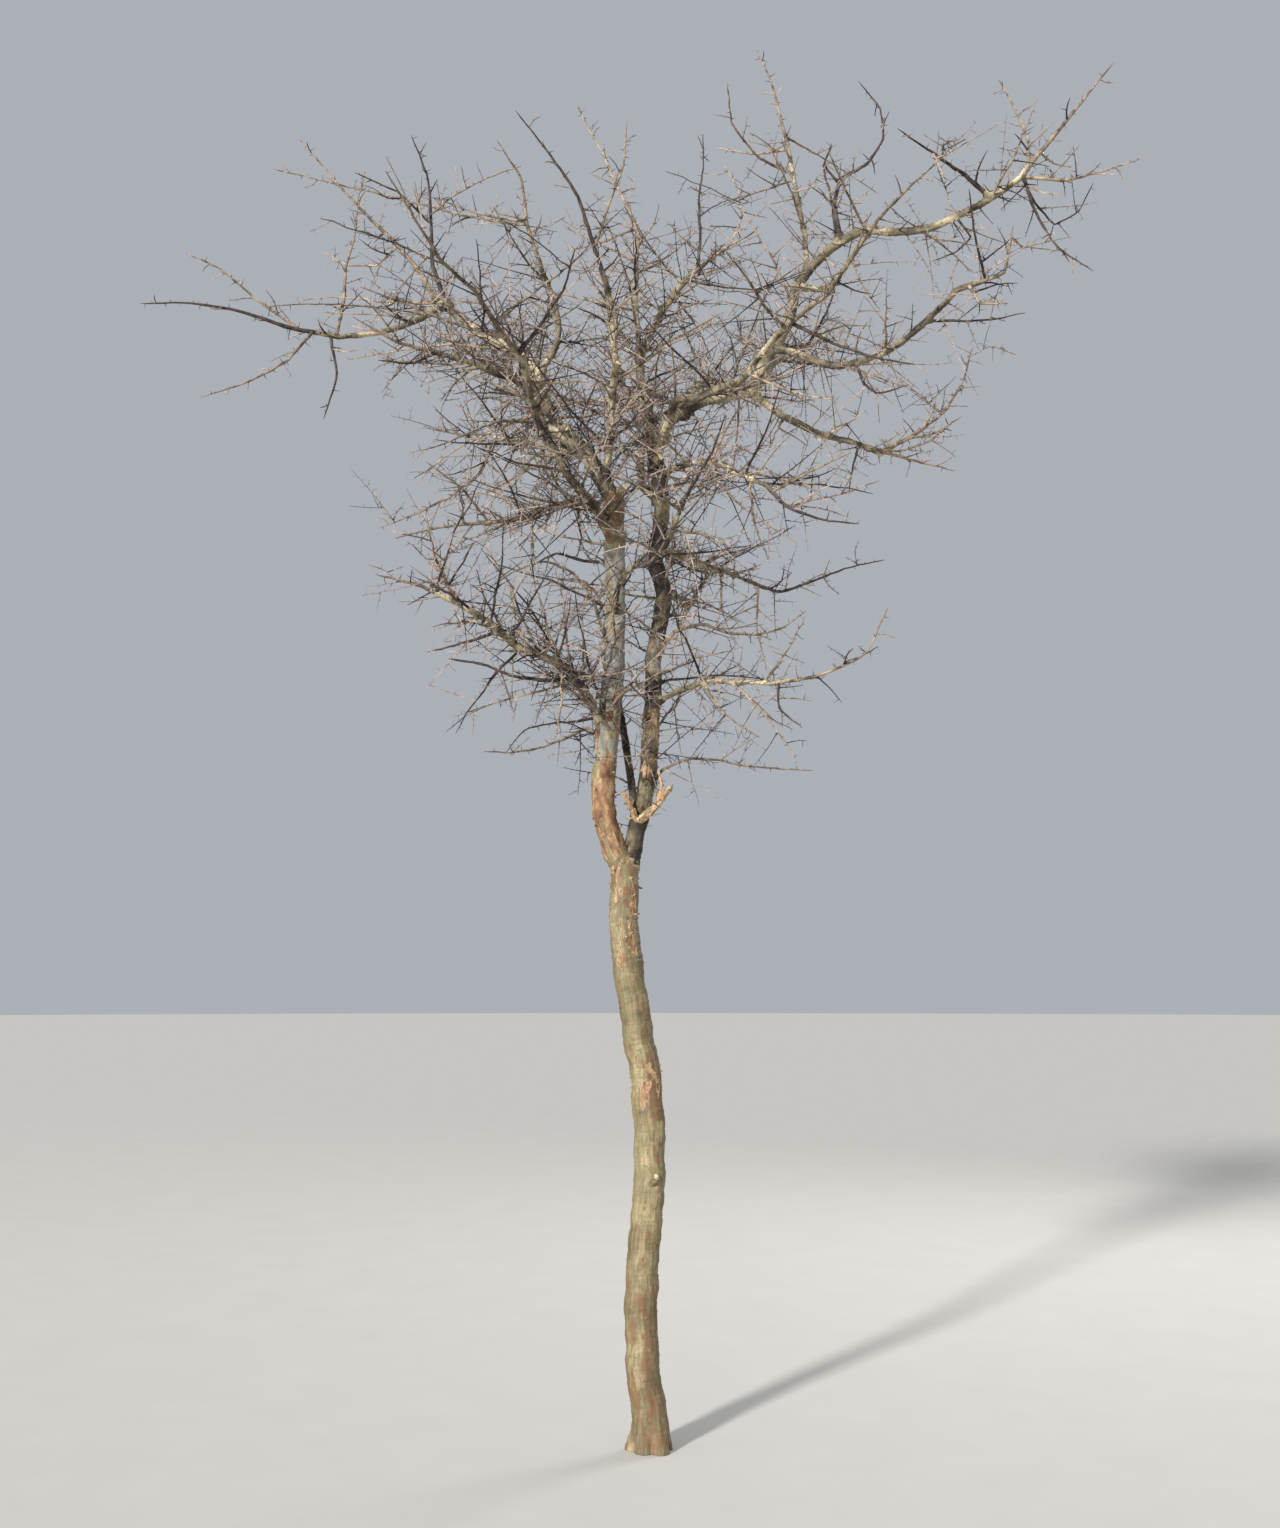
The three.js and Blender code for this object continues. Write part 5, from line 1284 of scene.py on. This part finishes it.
def newMaterial(name, roughness, gloss=0.25):
    material = bpy.data.materials.new(name)
    material.use_nodes = True
    shader = material.node_tree.nodes["Principled BSDF"]
    shader.inputs["Roughness"].default_value = roughness
    shader.inputs["Specular IOR Level"].default_value = gloss
    return material, material.node_tree, shader


def readAttribute(tree, name, output):
    return addNode(tree, "ShaderNodeAttribute", {"attribute_name": name}).outputs[output]


def objectSpace(tree):
    return addNode(tree, "ShaderNodeTexCoord").outputs["Object"]


def stretched(tree, space, stretch, shift=(0, 0, 0)):
    return addNode(tree, "ShaderNodeMapping", None,
                   {"Vector": space, "Scale": stretch, "Location": shift}).outputs[0]


def noiseOf(tree, space, scale, detail, roughness=0.55, distortion=0):
    inputs = {"Vector": space, "Scale": scale, "Detail": detail, "Roughness": roughness,
              "Distortion": distortion}
    return addNode(tree, "ShaderNodeTexNoise", None, inputs).outputs["Fac"]


def patternOf(tree, space, pattern):
    if "stretch" in pattern:
        space = stretched(tree, space, pattern["stretch"], pattern.get("shift", (0, 0, 0)))
    return noiseOf(tree, space, *pattern["noise"])


def limited(tree, value, low, high, least=0, most=1):
    # a soft step from least to most as the value goes from low to high
    inputs = {"Value": value, 1: low, 2: high, 3: least, 4: most}
    return addNode(tree, "ShaderNodeMapRange", {"interpolation_type": 'SMOOTHSTEP'}, inputs).outputs[0]


def ramped(tree, value, stops):
    node = addNode(tree, "ShaderNodeValToRGB", None, {0: value})
    bands = node.color_ramp.elements
    while len(bands) < len(stops):
        bands.new(0.5)
    for band, (place, colour) in zip(bands, stops):
        band.position = place
        band.color = colour
    return node.outputs[0]


def mixed(tree, share, first, second, kind='MIX'):
    settings = {"data_type": 'RGBA', "blend_type": kind}
    return addNode(tree, "ShaderNodeMix", settings, {0: share, 6: first, 7: second}).outputs[2]


def plusTimes(tree, value, extra, factor):
    scaled = addNode(tree, "ShaderNodeMath", {"operation": 'MULTIPLY'}, {0: extra, 1: factor}).outputs[0]
    return addNode(tree, "ShaderNodeMath", {"operation": 'ADD'}, {0: value, 1: scaled}).outputs[0]


def bumped(tree, shader, heights):
    # one bump for each height, its strength and its depth, laid over each other
    normal = None
    for height, (strength, distance) in heights:
        inputs = {"Height": height, "Strength": strength, "Distance": distance}
        if normal is not None:
            inputs["Normal"] = normal
        normal = addNode(tree, "ShaderNodeBump", None, inputs).outputs[0]
    tree.links.new(normal, shader.inputs["Normal"])


barkLooks = {
    "pale": {
        "grounds": [(0.3, tone(108, 94, 66)), (0.47, tone(136, 120, 87)), (0.62, tone(167, 150, 113))],
        "patch": tone(96, 88, 62), "patchSpan": (0.6, 0.72), "stain": tone(124, 126, 90),
        "lines": 0.45, "roughness": 0.66, "gloss": 0.4,
        "ring": tone(78, 66, 46), "fleck": tone(60, 48, 34), "lip": tone(206, 190, 150),
        "bared": [(0.34, tone(94, 64, 42)), (0.5, tone(141, 105, 73)), (0.64, tone(180, 150, 115))],
    },
    "dark": {
        "grounds": [(0.36, tone(58, 50, 42)), (0.5, tone(112, 99, 76)), (0.64, tone(158, 146, 114))],
        # the near black patches on the right stem are partly dark bark, partly painted shade of the twigs
        # over it
        "patch": tone(46, 40, 36), "patchSpan": (0.46, 0.54), "stain": tone(96, 90, 78),
        "lines": 0.7, "roughness": 0.8, "gloss": 0.3,
        "ring": tone(40, 32, 26), "fleck": tone(30, 24, 20), "lip": tone(180, 160, 128),
        "bared": [(0.34, tone(104, 78, 60)), (0.5, tone(150, 122, 98)), (0.64, tone(186, 158, 130))],
    },
    "bough": {
        "grounds": [(0.35, tone(74, 65, 54)), (0.49, tone(146, 133, 108)), (0.62, tone(214, 198, 165))],
        "patch": tone(66, 58, 52), "patchSpan": (0.53, 0.61), "stain": tone(124, 118, 92),
        "lines": 0.65, "roughness": 0.8, "gloss": 0.3,
        "ring": tone(58, 48, 38), "fleck": tone(46, 38, 30), "lip": tone(196, 178, 140),
        "bared": [(0.3, tone(124, 82, 54)), (0.5, tone(172, 128, 90)), (0.68, tone(208, 174, 134))],
    },
}
barkLooks["stub"] = dict(barkLooks["pale"], bared=[
    (0.34, tone(138, 98, 68)), (0.5, tone(180, 142, 106)), (0.64, tone(212, 182, 146))])

# The patterns in the bark: noise in the straightened space of a limb, whose Z runs along it.
# Its numbers are scale, detail, roughness and distortion.
barkPatterns = {
    "ground": {"stretch": (1, 1, 0.55), "noise": (11, 5)},
    "stain": {"stretch": (1, 1, 0.8), "shift": (3, 1, 7), "noise": (26, 5, 0.6)},
    "patch": {"stretch": (1, 1, 0.7), "shift": (9, 4, 2), "noise": (17, 6, 0.6, 0.4)},
    "ring": {"stretch": (1, 1, 6.5), "noise": (34, 4)},
    "streak": {"stretch": (7, 7, 0.8), "noise": (18, 3)},
    "fleck": {"noise": (240, 3)},
    "grain": {"noise": (320, 4)},
    "shred": {"noise": (130, 3)},
    "bared": {"stretch": (1, 1, 0.6), "noise": (30, 6, 0.65)},
}
# Tones laid over the ground, each where its pattern is high; a name stands for the look's own value
barkLayers = [
    {"pattern": "stain", "span": (0.52, 0.62), "most": 0.6, "tone": "stain"},
    {"pattern": "patch", "span": "patchSpan", "most": 0.85, "tone": "patch"},
    {"pattern": "ring", "span": (0.58, 0.68), "most": "lines", "tone": "ring"},
    {"pattern": "streak", "span": (0.35, 0.65), "most": 0.35, "tone": "patch", "blend": 'MULTIPLY'},
    {"pattern": "fleck", "span": (0.64, 0.7), "most": 0.75, "tone": "fleck"},
]
crackLook = {"stretch": (1, 1, 0.35), "scale": 55, "width": 0.05, "share": 0.55}
# Tones of the stains: near black is painted shade, rusty brown is partly painted shade, grey is partly a
# painted sky reflection and painted light
stainAndShadeLooks = {
    "ash_and_sheen": {"tone": tone(148, 149, 143), "most": 0.7, "shift": (5, 2, 3)},
    "rust_and_shade": {"tone": tone(118, 84, 58), "most": 0.72, "shift": (5, 5, 3)},
    "painted_shade": {"tone": tone(48, 41, 37), "most": 0.9, "shift": (5, 8, 3)},
}
stainAndShadeSpread = {"stretch": (1, 1, 0.5), "noise": (26, 6, 0.65), "weight": 3, "span": (2, 2.3)}
# the cream of a sawn face is bare wood and partly a painted highlight
peelLook = {"shredWeight": 0.16, "lip": (0, 0.06), "lipMost": 0.7, "bare": (0.06, 0.09),
            "cut": (1.5, 1.8), "cutAndHighlightTone": tone(226, 206, 168)}
barkBumps = {"ring": (0.5, 0.003), "patch": (0.35, 0.004), "grain": (0.5, 0.0012), "crack": (0.3, 0.002)}


def barkMaterial(name, look):
    material, tree, shader = newMaterial(f"{name}_bark_finish", look["roughness"], look["gloss"])
    space = readAttribute(tree, "barkSpace", "Vector")
    peel = readAttribute(tree, "peel", "Fac")
    patterns = {key: patternOf(tree, space, pattern) for key, pattern in barkPatterns.items()}
    colour = ramped(tree, patterns["ground"], look["grounds"])
    for layer in barkLayers:
        span, most = (look[value] if isinstance(value, str) else value
                      for value in (layer["span"], layer["most"]))
        share = limited(tree, patterns[layer["pattern"]], *span, 0, most)
        colour = mixed(tree, share, colour, look[layer["tone"]], layer.get("blend", 'MIX'))
    crack = {"Vector": stretched(tree, space, crackLook["stretch"]), "Scale": crackLook["scale"]}
    cracks = addNode(tree, "ShaderNodeTexVoronoi", {"feature": 'DISTANCE_TO_EDGE'}, crack)
    patterns["crack"] = cracks.outputs[0]
    share = limited(tree, patterns["crack"], 0, crackLook["width"], crackLook["share"] * look["lines"], 0)
    colour = mixed(tree, share, colour, look["ring"])
    # the stains, with the painted shade and painted reflection among them, laid over the bark
    for stain, stainAndShadeLook in stainAndShadeLooks.items():
        spread = patternOf(tree, space, {**stainAndShadeSpread, "shift": stainAndShadeLook["shift"]})
        reached = plusTimes(tree, readAttribute(tree, stain, "Fac"), spread, stainAndShadeSpread["weight"])
        share = limited(tree, reached, *stainAndShadeSpread["span"], 0, stainAndShadeLook["most"])
        colour = mixed(tree, share, colour, stainAndShadeLook["tone"])
    ragged = plusTimes(tree, peel, patterns["shred"], peelLook["shredWeight"])
    lip = limited(tree, ragged, *peelLook["lip"], 0, peelLook["lipMost"])
    colour = mixed(tree, lip, colour, look["lip"])
    bared = ramped(tree, patterns["bared"], look["bared"])
    colour = mixed(tree, limited(tree, ragged, *peelLook["bare"]), colour, bared)
    # sawn faces: cream bare wood, partly a painted highlight
    colour = mixed(tree, limited(tree, peel, *peelLook["cut"]), colour, peelLook["cutAndHighlightTone"])
    tree.links.new(colour, shader.inputs["Base Color"])
    bumped(tree, shader, [(patterns[key], bump) for key, bump in barkBumps.items()])
    return material


woodLook = {"roughness": 0.74, "blotch": (28, 5, 0.6), "stops": (0.36, 0.64), "grain": (300, 3),
            "grainSpan": (0.55, 0.7), "grainMost": 0.5, "bump": (0.5, 0.0008)}
woodTones = {
    "leaders": (tone(82, 71, 60), tone(166, 147, 122)),
    "leaders_dark": (tone(44, 37, 34), tone(92, 80, 70)),
    "leaders_tan": (tone(116, 98, 80), tone(194, 171, 142)),
    "twigs_grey": (tone(94, 82, 78), tone(158, 143, 133)),
    "twigs_tan": (tone(124, 106, 93), tone(194, 172, 155)),
    "twigs_dark": (tone(36, 30, 31), tone(74, 64, 62)),
    "twigs_olive": (tone(92, 82, 62), tone(142, 130, 104)),
    "spines_dark": (tone(50, 42, 42), tone(94, 84, 84)),
    "spines_pale": (tone(132, 118, 111), tone(194, 180, 171)),
    "bark_flakes": (tone(120, 96, 68), tone(196, 172, 132)),
}


def woodMaterial(name, tones):
    material, tree, shader = newMaterial(f"{name}_finish", woodLook["roughness"])
    space = objectSpace(tree)
    blotch = noiseOf(tree, space, *woodLook["blotch"])
    colour = ramped(tree, blotch, list(zip(woodLook["stops"], tones)))
    grain = noiseOf(tree, space, *woodLook["grain"])
    share = limited(tree, grain, *woodLook["grainSpan"], 0, woodLook["grainMost"])
    colour = mixed(tree, share, colour, tones[0], 'MULTIPLY')
    tree.links.new(colour, shader.inputs["Base Color"])
    bumped(tree, shader, [(grain, woodLook["bump"])])
    return material


for name, piece in barks.items():
    piece.data.materials.clear()
    look = barkPieces[name]["look"]
    finish = bpy.data.materials.get(f"{look}_bark_finish") or barkMaterial(look, barkLooks[look])
    piece.data.materials.append(finish)

for name, heap in heaps.items():
    piece = meshPiece(name, heap)
    selectOnly(piece)
    if name.startswith("spines"):
        bpy.ops.object.shade_flat()
    else:
        bpy.ops.object.shade_smooth_by_angle(angle=math.radians(60))  # the tips' rims stay sharp
    piece.data.materials.append(woodMaterial(name, woodTones[name]))
    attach(piece, "root")
    if name == "leaders":
        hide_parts(*leaders)
    print("twigs made:", name)


# Floor, light and camera

stage = {
    "floor": {"radius": 90, "depth": 0.001, "tones": (tone(200, 196, 188), tone(208, 204, 197)),
              "grain": (3, 3), "roughness": 0.9},
    "world": {"tone": tone(226, 232, 240), "strength": 0.54},
    "key": {"from": (-0.6, -1, 0.43), "distance": 9, "spread": 5, "strength": 4.8},  # spread in degrees
    "rim": {"place": (5, 5, 6), "toward": (0, 0, 3), "size": 3, "power": 250},
}
view = {"lens": 40.05, "place": (-0.034, -5.963, 1.55), "lift": 7.41}  # mm, metres and degrees

selectOnly()
floorPlan = stage["floor"]
bpy.ops.mesh.primitive_circle_add(vertices=96, radius=floorPlan["radius"], fill_type='NGON',
                                  location=(0, 0, -floorPlan["depth"]))
bpy.ops.object.transform_apply(location=True, rotation=True, scale=True)
floor = bpy.context.object
floor.name = "floor"
floorFinish, floorTree, floorShader = newMaterial("floor_finish", floorPlan["roughness"])
floorGrain = noiseOf(floorTree, objectSpace(floorTree), *floorPlan["grain"])
floorColour = mixed(floorTree, floorGrain, *floorPlan["tones"])
floorTree.links.new(floorColour, floorShader.inputs["Base Color"])
floor.data.materials.append(floorFinish)
floor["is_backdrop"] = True


def addLamp(kind, name, place, toward, power):
    bpy.ops.object.light_add(type=kind, location=place)
    lamp = bpy.context.object
    lamp.name = name
    lamp.rotation_euler = (Vector(toward) - Vector(place)).to_track_quat('-Z', 'Y').to_euler()
    lamp.data.energy = power
    return lamp.data


key, rim = stage["key"], stage["rim"]
keyPlace = Vector(key["from"]) * key["distance"]
addLamp('SUN', "key_light", keyPlace, (0, 0, 0), key["strength"]).angle = math.radians(key["spread"])
addLamp('AREA', "rim_light", rim["place"], rim["toward"], rim["power"]).size = rim["size"]

world = bpy.data.worlds.new("studio")
world.use_nodes = True
bpy.context.scene.world = world
bpy.context.scene.view_settings.view_transform = 'Standard'
background = world.node_tree.nodes["Background"]
background.inputs["Color"].default_value = stage["world"]["tone"]
background.inputs["Strength"].default_value = stage["world"]["strength"]

bpy.ops.object.camera_add(location=view["place"], rotation=(math.radians(90 + view["lift"]), 0, 0))
camera = bpy.context.object
camera.name = "photo_view"
camera.data.lens = view["lens"]
camera.data.dof.use_dof = False
bpy.context.scene.camera = camera
print("floor, light and camera set")

visualBox = [list(corner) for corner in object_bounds()]
print("visual box", [[round(value, 3) for value in corner] for corner in visualBox])
